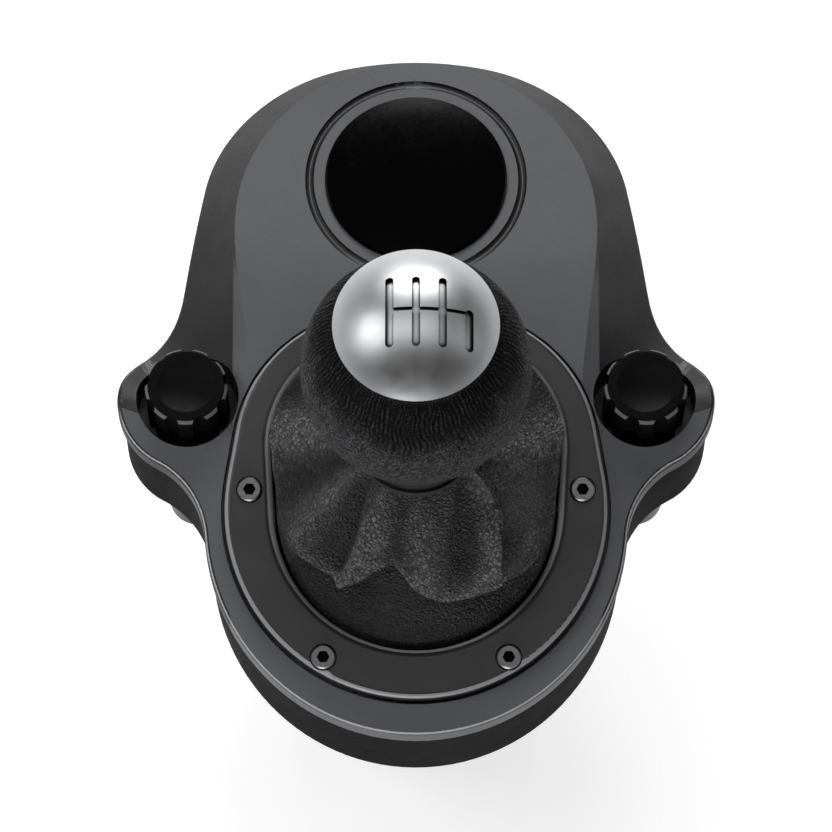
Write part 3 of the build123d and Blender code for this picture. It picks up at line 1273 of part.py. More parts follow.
def make_jaw(x):
    """Arm that reaches under the table, with its nut boss and guide fork."""
    low = jaw_low()
    half = JAW_ARM_WIDTH / 2
    arm = block(x - half, x + half, EAR_Y, JAW_REAR_Y, low, low + JAW_ARM_HEIGHT)
    arm = fillet(arm.edges().filter_by(Axis.Z).group_by(Axis.Y)[-1], half - JAW_EDGE_FILLET)
    arm = arm + disc(JAW_BOSS_RADIUS, low, low + JAW_BOSS_HEIGHT, x, EAR_Y)
    near, far = sorted((math.copysign(JAW_FORK_X, x), x))
    reach = JAW_FORK_WIDTH / 2
    arm = arm + block(near, far, EAR_Y - reach, EAR_Y + reach, low, low + JAW_ARM_HEIGHT)
    tip = RAIL_OUTER_X + FREE_CLEARANCE
    near, far = sorted((math.copysign(RAIL_INNER_X, x), math.copysign(tip, x)))
    slot = RAIL_WIDTH / 2 + FREE_CLEARANCE
    arm = arm - block(near, far, EAR_Y - slot, EAR_Y + slot, 0, REACH)
    arm = arm - jaw_pad_form(x, 0)
    return arm - jaw_nut_form(x)


def jaw_nut_form(x):
    """Outside of the flanged nut."""
    low = jaw_low()
    body = disc(JAW_NUT_RADIUS, low, low + JAW_BOSS_HEIGHT, x, EAR_Y)
    return body + disc(JAW_NUT_FLANGE_RADIUS, low, low + JAW_NUT_FLANGE_HEIGHT, x, EAR_Y)


def make_jaw_nut(x):
    return jaw_nut_form(x) - disc(CLAMP_SCREW_RADIUS + RUN_CLEARANCE, 0, REACH, x, EAR_Y)


def knob_pin_form():
    return bar_y(KNOB_PIN_RADIUS, LEVER_Y - KNOB_PIN_REACH, LEVER_Y + KNOB_PIN_REACH, 0, KNOB_PIN_Z)


BLACK = (0.03, 0.03, 0.03)
PLASTIC = (0.11, 0.11, 0.12)
DARK_PLASTIC = (0.06, 0.06, 0.065)
LEATHER = (0.07, 0.07, 0.07)
ALUMINIUM = (0.62, 0.62, 0.63)
STEEL = (0.45, 0.45, 0.47)
BRASS = (0.62, 0.50, 0.25)
RUBBER = (0.04, 0.04, 0.04)
BOARD_GREEN = (0.05, 0.25, 0.12)

os.makedirs("parts", exist_ok=True)
write("top_cover", make_top_cover(), PLASTIC)
write("lower_housing", make_lower_housing(), DARK_PLASTIC)
write("bottom_cover", make_bottom_cover(), DARK_PLASTIC)
write("round_badge", make_cover_disc(), BLACK)
write("boot_bezel", make_bezel(), DARK_PLASTIC)
write("bezel_screws", make_bezel_screws(), STEEL)
write("boot_retainer", make_retainer(), STEEL)
write("gear_boot", make_boot(), LEATHER)
write("boot_clip", make_boot_clip(), BLACK)
write("housing_screws", make_housing_screws(), STEEL)
write("bottom_screws", make_countersunk_screws(bottom_screw_places()), STEEL)
write("frame_screws", make_countersunk_screws(leg_places()), STEEL)
write("table_pads", make_table_pads(), RUBBER)
write("mount_inserts", make_mount_inserts(), BRASS)
write("cable_gland", make_cable_gland(), RUBBER)
write("mechanism_frame", make_frame(), STEEL)
write("gate_plate", make_gate_plate(), STEEL)
gate_top = FRAME_BASE_Z + FRAME_BASE_THICKNESS + GATE_THICKNESS
write("gate_screws", small_screws(gate_screw_places(), gate_top), STEEL)
write("yoke_bushings", make_bushings(), BRASS)
write("centring_spring", make_centring_spring(), STEEL)
write("select_sensor", make_select_sensor(), BLACK)
write("circuit_board", make_board(), BOARD_GREEN)
board_top = TABLE_Z + FLOOR_THICKNESS + BOARD_POST_HEIGHT + BOARD_THICKNESS
write("board_screws", small_screws(board_post_places(), board_top), STEEL)
write("board_socket", make_board_plug(), BLACK)
write("select_yoke", make_yoke(), STEEL)
write("yoke_pins", make_yoke_pins(), STEEL)
write("shift_sensor", make_shift_sensor(), BLACK)
write("detent_ball", make_detent_ball(), STEEL)
write("detent_spring", make_detent_spring(), STEEL)
write("carrier_tube", make_carrier_tube(), STEEL)
write("carrier_pins", make_carrier_pins(), STEEL)
write("reverse_switch", make_reverse_switch(), BLACK)
write("reverse_spring", make_reverse_spring(), STEEL)
write("lever_rod", make_rod(), STEEL)
write("gate_pin", make_gate_pin(), STEEL)
write("stop_ring", make_stop_ring(), STEEL)
write("knob_collar", make_collar(), BLACK)
write("knob_pin", knob_pin_form(), STEEL)
write("knob_core", make_core(), DARK_PLASTIC)
write("knob_grip", make_grip(), LEATHER)
write("knob_cap", make_cap(), ALUMINIUM)
for side, x in (("right", CLAMP_X), ("left", -CLAMP_X)):
    write("thumb_knob_" + side, make_thumb_knob(x), BLACK)
    write("clamp_screw_" + side, make_clamp_screw(x), STEEL)
    write("clamp_clips_" + side, make_clamp_clips(x), STEEL)
    write("clamp_washer_" + side, make_clamp_washer(x), STEEL)
    write("clamp_jaw_" + side, make_jaw(x), STEEL)
    write("jaw_nut_" + side, make_jaw_nut(x), BRASS)
    write("jaw_pad_" + side, jaw_pad_form(x, 0), RUBBER)
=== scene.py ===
import math

import bpy
import numpy as np
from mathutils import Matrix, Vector


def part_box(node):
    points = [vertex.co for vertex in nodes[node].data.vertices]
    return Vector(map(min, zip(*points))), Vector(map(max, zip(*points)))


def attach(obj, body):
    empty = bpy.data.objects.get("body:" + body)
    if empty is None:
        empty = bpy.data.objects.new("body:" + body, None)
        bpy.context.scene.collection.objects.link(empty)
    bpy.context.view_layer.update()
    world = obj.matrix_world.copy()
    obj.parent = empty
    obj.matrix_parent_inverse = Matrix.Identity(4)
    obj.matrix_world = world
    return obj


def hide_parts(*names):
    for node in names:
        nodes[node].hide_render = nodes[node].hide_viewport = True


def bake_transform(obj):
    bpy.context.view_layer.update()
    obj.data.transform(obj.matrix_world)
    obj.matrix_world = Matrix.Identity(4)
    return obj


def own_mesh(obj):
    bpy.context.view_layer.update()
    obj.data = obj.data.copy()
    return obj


MM = 0.001
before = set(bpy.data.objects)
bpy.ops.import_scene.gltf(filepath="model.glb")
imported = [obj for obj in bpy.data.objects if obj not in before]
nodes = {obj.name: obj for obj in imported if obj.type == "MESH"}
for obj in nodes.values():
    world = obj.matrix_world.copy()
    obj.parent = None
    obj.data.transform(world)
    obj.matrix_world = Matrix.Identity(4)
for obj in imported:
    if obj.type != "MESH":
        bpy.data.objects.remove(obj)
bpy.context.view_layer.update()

# Places and sizes of the solids that the soft pieces follow, in millimetres
SLOPE = math.radians(13.0)      # the deck falls toward the driver
EAR_Y = -3.6
EAR_Z = 110.0
LEVER_Y = -26.8
LOBE_Y = -26.6                  # middle of the opening's front circle, on the deck
LOBE_RADIUS = 32.0
SHOULDER_X = 8.0
SHOULDER_RISE = 14.0
SHOULDER_RADIUS = 24.8
BASE_MARGIN = 0.45              # between the boot's foot and the opening's edge
BASE_DROP = 2.0                 # of the boot's flange, below the deck
NECK_RADIUS = 8.9
NECK_Z = 131.5
NECK_TOP_Z = 141.8
BALL_RADIUS = 24.6
BALL_Z = 175.2
CAP_RIM_RADIUS = 17.4
CAP_OVERHANG = 0.7
CAP_RIM_RISE = 21.7
COLLAR_TOP_Z = 152.5


# Camera, lights, backdrop

CAMERA_ELEVATION = math.radians(66.0)
CAMERA_AIM = Vector((0.0, -0.0088, 0.110))
CAMERA_DISTANCE = 1.0
CAMERA_LENS = 190.8             # focal length and sensor width, in millimetres
CAMERA_SENSOR = 36.0
CAMERA_CLIP = 0.05
LAMP_AIM = Vector((0.0, -0.01, 0.11))

# Greys against the upward part of a ray's way: 0 is level and 1 straight up
ROOM_STOPS = [(0.0, (0.12, 0.12, 0.12)), (0.35, (0.015, 0.015, 0.016))]     # what lights the object
BACKDROP_STOPS = [(0.06, (1.0, 1.0, 1.0)), (0.20, (0.02, 0.02, 0.02))]      # what camera, gloss and glass see
FLOOR_REACH = 3.0
FLOOR_GREY = 0.60
FLOOR_GLOW = 0.72               # for the camera, gloss and glass, over the light that falls on it


def add_camera():
    data = bpy.data.cameras.new("camera")
    data.lens = CAMERA_LENS
    data.sensor_width = CAMERA_SENSOR
    data.clip_start = CAMERA_CLIP
    camera = bpy.data.objects.new("camera", data)
    bpy.context.collection.objects.link(camera)
    back = Vector((0.0, -math.cos(CAMERA_ELEVATION), math.sin(CAMERA_ELEVATION)))
    camera.location = CAMERA_AIM + back * CAMERA_DISTANCE
    camera.rotation_mode = "QUATERNION"
    camera.rotation_quaternion = (-back).to_track_quat("-Z", "Y")
    bpy.context.scene.camera = camera
    bpy.context.scene.view_settings.view_transform = "Standard"


def add_light(name, azimuth, elevation, distance, size, power):
    """Area light that faces the object. Azimuth 0 stands in front and 180 behind."""
    a, e = math.radians(azimuth), math.radians(elevation)
    way = Vector((math.sin(a) * math.cos(e), -math.cos(a) * math.cos(e), math.sin(e)))
    data = bpy.data.lights.new(name, "AREA")
    data.shape = "RECTANGLE"
    data.size, data.size_y = size
    data.energy = power
    lamp = bpy.data.objects.new(name, data)
    bpy.context.collection.objects.link(lamp)
    lamp.location = LAMP_AIM + way * distance
    lamp.rotation_mode = "QUATERNION"
    lamp.rotation_quaternion = (-way).to_track_quat("-Z", "Y")


def shown_to_camera(tree):
    """Output that is 1 for the rays of the camera, and of gloss and glass."""
    path = tree.nodes.new("ShaderNodeLightPath")
    shown = path.outputs["Is Camera Ray"]
    for kind in ("Is Glossy Ray", "Is Transmission Ray"):
        either = tree.nodes.new("ShaderNodeMath")
        either.operation = "MAXIMUM"
        tree.links.new(shown, either.inputs[0])
        tree.links.new(path.outputs[kind], either.inputs[1])
        shown = either.outputs[0]
    return shown


def graded_background(tree, rise, stops):
    """Background at a strength of 1, whose grey follows a ray's rise."""
    ramp = tree.nodes.new("ShaderNodeValToRGB")
    for element, (position, colour) in zip(ramp.color_ramp.elements, stops):
        element.position = position
        element.color = (*colour, 1.0)
    tree.links.new(rise, ramp.inputs[0])
    background = tree.nodes.new("ShaderNodeBackground")
    background.inputs["Strength"].default_value = 1.0
    tree.links.new(ramp.outputs["Color"], background.inputs["Color"])
    return background.outputs[0]


def add_world():
    world = bpy.data.worlds.new("studio")
    bpy.context.scene.world = world
    world.use_nodes = True
    tree = world.node_tree
    tree.nodes.clear()
    place = tree.nodes.new("ShaderNodeTexCoord")
    split = tree.nodes.new("ShaderNodeSeparateXYZ")
    tree.links.new(place.outputs["Generated"], split.inputs[0])
    mix = tree.nodes.new("ShaderNodeMixShader")
    tree.links.new(shown_to_camera(tree), mix.inputs["Fac"])
    tree.links.new(graded_background(tree, split.outputs["Z"], ROOM_STOPS), mix.inputs[1])
    tree.links.new(graded_background(tree, split.outputs["Z"], BACKDROP_STOPS), mix.inputs[2])
    out = tree.nodes.new("ShaderNodeOutputWorld")
    tree.links.new(mix.outputs[0], out.inputs["Surface"])


def add_floor():
    mesh = bpy.data.meshes.new("floor")
    corners = [(x * FLOOR_REACH, y * FLOOR_REACH, 0) for x, y in ((-1, -1), (1, -1), (1, 1), (-1, 1))]
    mesh.from_pydata(corners, [], [(0, 1, 2, 3)])
    floor = bpy.data.objects.new("floor", mesh)
    bpy.context.collection.objects.link(floor)
    material = bpy.data.materials.new("floor_white")
    material.use_nodes = True
    tree = material.node_tree
    tree.nodes.clear()
    matt = tree.nodes.new("ShaderNodeBsdfDiffuse")
    matt.inputs["Color"].default_value = (FLOOR_GREY, FLOOR_GREY, FLOOR_GREY, 1.0)
    glow = tree.nodes.new("ShaderNodeEmission")
    glow.inputs["Color"].default_value = (1.0, 1.0, 1.0, 1.0)
    scale = tree.nodes.new("ShaderNodeMath")
    scale.operation = "MULTIPLY"
    scale.inputs[1].default_value = FLOOR_GLOW
    tree.links.new(shown_to_camera(tree), scale.inputs[0])
    tree.links.new(scale.outputs[0], glow.inputs["Strength"])
    add = tree.nodes.new("ShaderNodeAddShader")
    tree.links.new(matt.outputs[0], add.inputs[0])
    tree.links.new(glow.outputs[0], add.inputs[1])
    out = tree.nodes.new("ShaderNodeOutputMaterial")
    tree.links.new(add.outputs[0], out.inputs["Surface"])
    mesh.materials.append(material)


# Materials

class Look:
    """A material on the Principled shader, with short calls for its nodes."""

    def __init__(self, name, metallic=0.0, **sockets):
        self.material = bpy.data.materials.new(name)
        self.material.use_nodes = True
        self.tree = self.material.node_tree
        self.shader = self.tree.nodes["Principled BSDF"]
        self.shader.inputs["Metallic"].default_value = metallic
        for socket, value in sockets.items():
            self.shader.inputs[socket.replace("_", " ")].default_value = value
        self.place = self.node("ShaderNodeTexCoord").outputs["Object"]

    def node(self, kind, links=(), **settings):
        made = self.tree.nodes.new(kind)
        for key, value in settings.items():
            setattr(made, key, value)
        for socket, value in dict(links).items():
            target = made.inputs[socket]
            if isinstance(value, bpy.types.NodeSocket):
                self.tree.links.new(value, target)
            else:
                target.default_value = value
        return made

    def noise(self, scale, detail=3.0, rough=0.5, place=None, distortion=0.0):
        links = {"Vector": place or self.place, "Scale": scale, "Detail": detail, "Roughness": rough,
                 "Distortion": distortion}
        return self.node("ShaderNodeTexNoise", links).outputs["Fac"]

    def stretched(self, stretch):
        links = {"Vector": self.place, "Scale": stretch}
        return self.node("ShaderNodeMapping", links).outputs["Vector"]

    def ramp(self, value, stops):
        made = self.node("ShaderNodeValToRGB", {"Fac": value})
        bar = made.color_ramp
        while len(bar.elements) < len(stops):
            bar.elements.new(0.5)
        for element, (position, colour) in zip(bar.elements, stops):
            element.position = position
            element.color = (*colour, 1.0) if len(colour) == 3 else colour
        return made.outputs["Color"]

    def spread(self, value, low, high, from_low=0.3, from_high=0.7):
        links = {"Value": value, "From Min": from_low, "From Max": from_high, "To Min": low, "To Max": high}
        return self.node("ShaderNodeMapRange", links).outputs["Result"]

    def join(self, operation, first, second):
        made = self.node("ShaderNodeMath", operation=operation)
        for socket, value in zip(made.inputs, (first, second)):
            if isinstance(value, bpy.types.NodeSocket):
                self.tree.links.new(value, socket)
            else:
                socket.default_value = value
        return made.outputs[0]

    def mix(self, factor, first, second):
        made = self.node("ShaderNodeMix", {"Factor": factor}, data_type="RGBA")
        colours = [s for s in made.inputs if s.type == "RGBA"]
        for socket, value in zip(colours, (first, second)):
            if isinstance(value, bpy.types.NodeSocket):
                self.tree.links.new(value, socket)
            else:
                socket.default_value = (*value, 1.0)
        return [s for s in made.outputs if s.type == "RGBA"][0]

    def set(self, socket, value):
        self.tree.links.new(value, self.shader.inputs[socket])

    def bump(self, height, distance, strength=1.0, under=None):
        links = {"Height": height, "Distance": distance, "Strength": strength}
        if under is not None:
            links["Normal"] = under
        return self.node("ShaderNodeBump", links).outputs["Normal"]


def shades(colour, spread):
    """A colour and its darker and lighter neighbours."""
    dark = tuple(c * (1 - spread) for c in colour)
    light = tuple(min(1.0, c * (1 + spread)) for c in colour)
    return dark, light


FLANK_X = (0.0416, 0.0420)      # where the flanks' painted shade starts and is full, from the middle, in metres
FLANK_Y = (0.022, 0.030)        # the same toward the rear
FLANK_LEAN = (0.015, 0.07)      # the same by the sideways part of the normal


def flank_shade_mask(look):
    """Mask of the painted shade on the flanks: 1 where they lean outward, and 0 on the plateau, the slope and
    the ears' fronts.
    """
    normal = look.node("ShaderNodeNewGeometry").outputs["True Normal"]
    lean = look.join("ABSOLUTE", look.node("ShaderNodeSeparateXYZ", {"Vector": normal}).outputs["X"], 0.0)
    place = look.node("ShaderNodeSeparateXYZ", {"Vector": look.place})
    away = look.join("ABSOLUTE", place.outputs["X"], 0.0)
    outside = look.join("MAXIMUM", look.spread(away, 0.0, 1.0, *FLANK_X),
                        look.spread(place.outputs["Y"], 0.0, 1.0, *FLANK_Y))
    return look.join("MULTIPLY", look.spread(lean, 0.0, 1.0, *FLANK_LEAN), outside)


def edge_highlight_mask(look, low, high, behind=None):
    """Mask of the painted highlight: 1 on the roundings between a top face and its walls, ahead of a place
    behind.
    """
    normal = look.node("ShaderNodeNewGeometry").outputs["Normal"]
    rise = look.node("ShaderNodeSeparateXYZ", {"Vector": normal}).outputs["Z"]
    over = look.spread(rise, 0.0, 1.0, low, low + 0.12)
    under = look.spread(rise, 1.0, 0.0, high - 0.06, high)
    mask = look.join("MULTIPLY", over, under)
    if behind is not None:
        along = look.node("ShaderNodeSeparateXYZ", {"Vector": look.place}).outputs["Y"]
        mask = look.join("MULTIPLY", mask, look.spread(along, 1.0, 0.0, behind - 0.004, behind))
    return mask


def moulded_plastic(name, colour, roughness, texture=0.00004, pitch=2600.0, spread=0.10,
                    side=None, edge=None, **sockets):
    """Moulded plastic with a fine spark texture and a little handling shine.

    side is the painted shade of its flanks, and edge the colour of the painted highlight on its roundings and
    where they lie."""
    look = Look(name, **sockets)
    dark, light = shades(colour, spread)
    cloud = look.noise(38.0, 4.0, 0.55)
    speck = look.noise(pitch, 2.0, 0.6)
    tone = look.join("ADD", look.join("MULTIPLY", cloud, 0.6), look.join("MULTIPLY", speck, 0.4))
    top = look.ramp(tone, [(0.32, dark), (0.68, light)])
    if side is not None:
        dark, light = shades(side, spread)
        # Painted shade: the flanks take the darker side colour by how far their normal leans outward
        top = look.mix(flank_shade_mask(look), top, look.ramp(tone, [(0.32, dark), (0.68, light)]))
    if edge is not None:
        highlight_colour, low, high, behind = edge
        # Painted highlight: the roundings are lightened by the rise of their normal
        top = look.mix(edge_highlight_mask(look, low, high, behind), top, highlight_colour)
    look.set("Base Color", top)
    rub = look.noise(90.0, 5.0, 0.6)
    look.set("Roughness", look.spread(rub, roughness - 0.05, roughness + 0.05))
    fine = look.bump(speck, texture)
    look.set("Normal", look.bump(look.noise(pitch * 0.22, 2.0), texture * 1.5, 0.7, fine))
    return look.material


def polished_plastic(name, colour, roughness, specular, edge=None):
    """Glossy black plastic with faint swirls from wiping, and a painted highlight on its roundings if edge
    gives one.
    """
    look = Look(name, Specular_IOR_Level=specular)
    dark, light = shades(colour, 0.25)
    tone = look.ramp(look.noise(60.0, 3.0), [(0.3, dark), (0.7, light)])
    if edge is not None:
        # Painted highlight on the roundings
        tone = look.mix(edge_highlight_mask(look, *edge[1:]), tone, edge[0])
    look.set("Base Color", tone)
    swirl = look.noise(700.0, 4.0, 0.7, distortion=1.2)
    look.set("Roughness", look.spread(swirl, roughness * 0.75, roughness * 1.35))
    look.set("Normal", look.bump(look.noise(140.0, 2.0), 0.00002, 0.5))
    return look.material


LINE_PITCH = 900.0              # of the machining lines, a metre, and their depth in metres
LINE_DEPTH = 0.00001


def brushed_metal(name, colour, roughness, stretch=(1.0, 1.0, 14.0)):
    """Metal with fine machining lines across the stretched axis."""
    look = Look(name, metallic=1.0)
    dark, light = shades(colour, 0.14)
    lines = look.noise(LINE_PITCH, 4.0, 0.6, look.stretched(stretch))
    look.set("Base Color", look.ramp(lines, [(0.3, dark), (0.7, light)]))
    stain = look.noise(120.0, 4.0, 0.6)
    look.set("Roughness", look.join("ADD", look.spread(lines, roughness - 0.06, roughness + 0.06),
                                    look.spread(stain, -0.04, 0.05)))
    look.set("Normal", look.bump(lines, LINE_DEPTH))
    return look.material


def socket_steel(name, dark, light, roughness):
    """Plated screw steel: the head is bright, and the depth of its socket takes a painted shade from ambient
    occlusion.
    """
    look = Look(name, metallic=1.0)
    # Painted shade: ambient occlusion darkens the socket
    unshaded = look.node("ShaderNodeAmbientOcclusion", {"Distance": 0.003}).outputs["AO"]
    lines = look.noise(LINE_PITCH, 4.0, 0.6)
    tone = look.join("ADD", look.join("MULTIPLY", unshaded, 0.85), look.join("MULTIPLY", lines, 0.15))
    look.set("Base Color", look.ramp(tone, [(0.55, dark), (0.88, light)]))
    look.set("Roughness", look.spread(lines, roughness - 0.05, roughness + 0.07))
    look.set("Normal", look.bump(lines, LINE_DEPTH))
    return look.material


def blasted_aluminium(name):
    """Satin aluminium of the knob's cap: fine blasted grain, slight handling marks, and painted shade in its
    engraved cuts.
    """
    look = Look(name, metallic=1.0)
    grain = look.noise(5200.0, 2.0, 0.7)
    cloud = look.noise(70.0, 4.0, 0.6)
    tone = look.join("ADD", look.join("MULTIPLY", cloud, 0.75), look.join("MULTIPLY", grain, 0.25))
    metal = look.ramp(tone, [(0.30, (0.46, 0.465, 0.475)), (0.70, (0.54, 0.545, 0.555))])
    # Painted shade: ambient occlusion darkens the engraved cuts
    unshaded = look.node("ShaderNodeAmbientOcclusion", {"Distance": 0.0012}).outputs["AO"]
    groove_shade = look.spread(unshaded, 1.0, 0.0, 0.55, 0.92)
    look.set("Base Color", look.mix(groove_shade, metal, (0.05, 0.05, 0.052)))
    rub = look.noise(210.0, 5.0, 0.65, distortion=0.6)
    look.set("Roughness", look.spread(rub, 0.37, 0.44))
    look.set("Normal", look.bump(grain, 0.000012))
    return look.material


def leather(name, colour, cell, depth, roughness, fold, specular=0.5):
    """Grained leather: pebbled cells and creases between them, darkened and lightened by a painted light and
    shade.

    The meshes carry their own mark of painted light and shade, from 0 in a fold, painted shade, to 1 on a
    crest, painted light."""
    look = Look(name, Specular_IOR_Level=specular)
    drift = look.node("ShaderNodeVectorMath", {"Scale": 0.0011}, operation="SCALE")
    wander = look.node("ShaderNodeTexNoise", {"Vector": look.place, "Scale": 330.0}).outputs["Color"]
    look.tree.links.new(wander, drift.inputs[0])
    moved = look.node("ShaderNodeVectorMath", operation="ADD")
    look.tree.links.new(look.place, moved.inputs[0])
    look.tree.links.new(drift.outputs[0], moved.inputs[1])
    cells = look.node("ShaderNodeTexVoronoi", {"Vector": moved.outputs[0], "Scale": cell},
                      feature="DISTANCE_TO_EDGE").outputs["Distance"]
    pebbles = look.spread(cells, 0.0, 1.0, 0.0, 0.30)
    creases = look.noise(fold, 5.0, 0.70, distortion=1.6)
    pores = look.noise(5200.0, 2.0, 0.6)
    height = look.join("ADD", look.join("MULTIPLY", pebbles, 0.5), look.join("MULTIPLY", creases, 1.1))
    height = look.join("ADD", height, look.join("MULTIPLY", pores, 0.08))
    # Painted light and shade from the mesh multiplies the grain's tone
    light_mark = look.node("ShaderNodeAttribute", attribute_name="light_mark").outputs["Fac"]
    dark, light = shades(colour, 0.90)
    grain = look.join("ADD", look.join("MULTIPLY", pebbles, 0.15), look.join("MULTIPLY", creases, 0.85))
    tone = look.join("MULTIPLY", look.spread(grain, 0.15, 1.0, 0.34, 0.66), light_mark)
    middle = tuple(0.62 * c for c in colour)
    look.set("Base Color", look.ramp(tone, [(0.16, dark), (0.50, middle), (0.90, light)]))
    look.set("Roughness", look.spread(pebbles, roughness + 0.16, roughness - 0.04, 0.0, 1.0))
    look.set("Normal", look.bump(height, depth))
    return look.material


def rubber(name):
    """Dull black rubber with a fine grain."""
    look = Look(name, Specular_IOR_Level=0.35)
    look.set("Base Color", look.ramp(look.noise(240.0, 4.0), [(0.3, (0.012, 0.012, 0.012)),
                                                           (0.7, (0.024, 0.024, 0.025))]))
    look.set("Roughness", look.spread(look.noise(600.0, 3.0), 0.68, 0.86))
    look.set("Normal", look.bump(look.noise(1800.0, 3.0), 0.00008))
    return look.material


def lacquered_board(name):
    """Green circuit board with straight copper tracks under the lacquer."""
    look = Look(name, Coat_Weight=0.4, Coat_Roughness=0.15, Roughness=0.35)
    bricks = look.node("ShaderNodeTexBrick", {
        "Vector": look.place, "Color1": (0.010, 0.085, 0.040, 1.0), "Color2": (0.014, 0.110, 0.052, 1.0),
        "Mortar": (0.030, 0.180, 0.080, 1.0), "Scale": 160.0, "Mortar Size": 0.03, "Brick Width": 0.7,
        "Row Height": 0.21})
    look.set("Base Color", bricks.outputs["Color"])
    look.set("Normal", look.bump(bricks.outputs["Fac"], 0.00005))
    return look.material


# Mesh helpers

def wave_noise(points, waves, low, high, seed):
    """Smooth noise in space: a sum of plane waves with random ways and phases."""
    draw = np.random.default_rng(seed)
    total = np.zeros(points.shape[:-1])
    for _ in range(waves):
        way = draw.normal(size=3)
        way = way / np.linalg.norm(way)
        length = low * (high / low) ** draw.random()
        total += np.sin(points @ way * (2 * math.pi / length) + draw.random() * 2 * math.pi)
    return total / math.sqrt(waves)


def grid_faces(rows, columns):
    """Quads over rows and columns of points, closed along each row."""
    index = np.arange(rows * columns).reshape(rows, columns)
    nxt = np.roll(index, -1, axis=1)
    return np.stack([index[:-1], nxt[:-1], nxt[1:], index[1:]], axis=-1).reshape(-1, 4)


def mesh_object(name, points, faces, material):
    """Smooth-shaded object of points in millimetres."""
    mesh = bpy.data.meshes.new(name)
    mesh.from_pydata((points * MM).tolist(), [], faces.tolist() if hasattr(faces, "tolist") else faces)
    mesh.polygons.foreach_set("use_smooth", [True] * len(mesh.polygons))
    mesh.materials.append(material)
    mesh.update()
    made = bpy.data.objects.new(name, mesh)
    bpy.context.collection.objects.link(made)
    return made


def grid_normals(points):
    """Outward normals of a grid that is closed along its rows."""
    along = np.roll(points, -1, axis=1) - np.roll(points, 1, axis=1)
    up = np.gradient(points, axis=0)
    normal = np.cross(along, up)
    return normal / np.maximum(np.linalg.norm(normal, axis=-1, keepdims=True), 1e-9)


SPLINE_STEPS = 10
SPLINE_WEIGHTS = np.array([23.0, 30.0])     # of height and of width, in the length along a curve


def spline_rows(knots, count):
    """Points evenly spaced along smooth curves through knots of shape (curves, knots, values)."""
    first = 2 * knots[:, :1] - knots[:, 1:2]
    last = 2 * knots[:, -1:] - knots[:, -2:-1]
    padded = np.concatenate([first, knots, last], axis=1)
    fine = []
    for k in range(knots.shape[1] - 1):
        a, b, c, d = (padded[:, k + i] for i in range(4))
        for s in range(SPLINE_STEPS):
            t = s / SPLINE_STEPS
            fine.append(0.5 * (2 * b + (c - a) * t + (2 * a - 5 * b + 4 * c - d) * t * t
                               + (3 * b - a - 3 * c + d) * t ** 3))
    fine.append(knots[:, -1])
    fine = np.stack(fine, axis=1)
    length = np.linalg.norm(np.diff(fine * SPLINE_WEIGHTS, axis=1), axis=-1)
    place = np.concatenate([np.zeros((len(fine), 1)), np.cumsum(length, axis=1)], axis=1)
    place = place / place[:, -1:]
    want = np.linspace(0, 1, count)
    out = np.empty((len(fine), count, 2))
    for i in range(len(fine)):
        for j in range(2):
            out[i, :, j] = np.interp(want, place[i], fine[i, :, j])
    return out


# The gear boot

BOOT_COLUMNS = 480
BOOT_ROWS = 116
NECK_ROWS = 12
SPLIT_SHARE = 0.60              # of the boot's height, where its lower and upper pieces meet
SKIN = 1.0                      # thickness of the leather
FOOT_STATIONS = 9               # circles whose outline makes the opening
FOLD_FADE = 0.12                # of width, over which a lip becomes a full fold
ROUNDING = 5                    # columns each way that round off the fold stations
FOOT_SPREAD = 0.55              # how far the lowest folds may reach past the foot
PLEATS = 19
PLEAT_DEPTH = 0.28
FINE_WAVES = (26, 2.2, 6.0, 11)             # number, shortest and longest in millimetres, and seed
COARSE_WAVES = (14, 7.0, 18.0, 5)
PATCH_WAVES = (10, 12.0, 30.0, 23)
FINE_DEPTH = 0.16
COARSE_DEPTH = 0.22

# Each fold station: angle, width share of the lip, its height share and how far it overhangs
FOLD_STATIONS = [
    (0, 1.00, 0.27, 0.0), (30, 1.00, 0.27, 0.0), (90, 1.00, 0.27, 0.0), (150, 1.00, 0.27, 0.0),
    (192, 1.00, 0.27, 0.0), (204, 0.985, 0.30, 0.2), (214, 0.88, 0.35, 0.8), (224, 0.83, 0.38, 1.0),
    (232, 0.80, 0.40, 1.1), (239, 0.69, 0.47, 0.8), (247, 0.60, 0.54, 0.5), (256, 0.55, 0.57, 0.4),
    (264, 0.61, 0.53, 0.5), (272, 0.70, 0.47, 0.8), (281, 0.79, 0.405, 1.1), (290, 0.81, 0.395, 1.1),
    (301, 0.83, 0.385, 1.0), (311, 0.87, 0.365, 0.9), (320, 0.92, 0.34, 0.7), (330, 0.97, 0.31, 0.3),
    (342, 1.00, 0.27, 0.0),
]
# The plain cone without folds: shares of the height, and of the width left there
CONE_HEIGHTS = [0.0, 0.14, 0.27, 0.40, 0.50, 0.60, 0.70, 0.80, 0.90, 1.0]
CONE_WIDTHS = [1.0, 1.0, 0.955, 0.84, 0.735, 0.605, 0.465, 0.31, 0.145, 0.0]

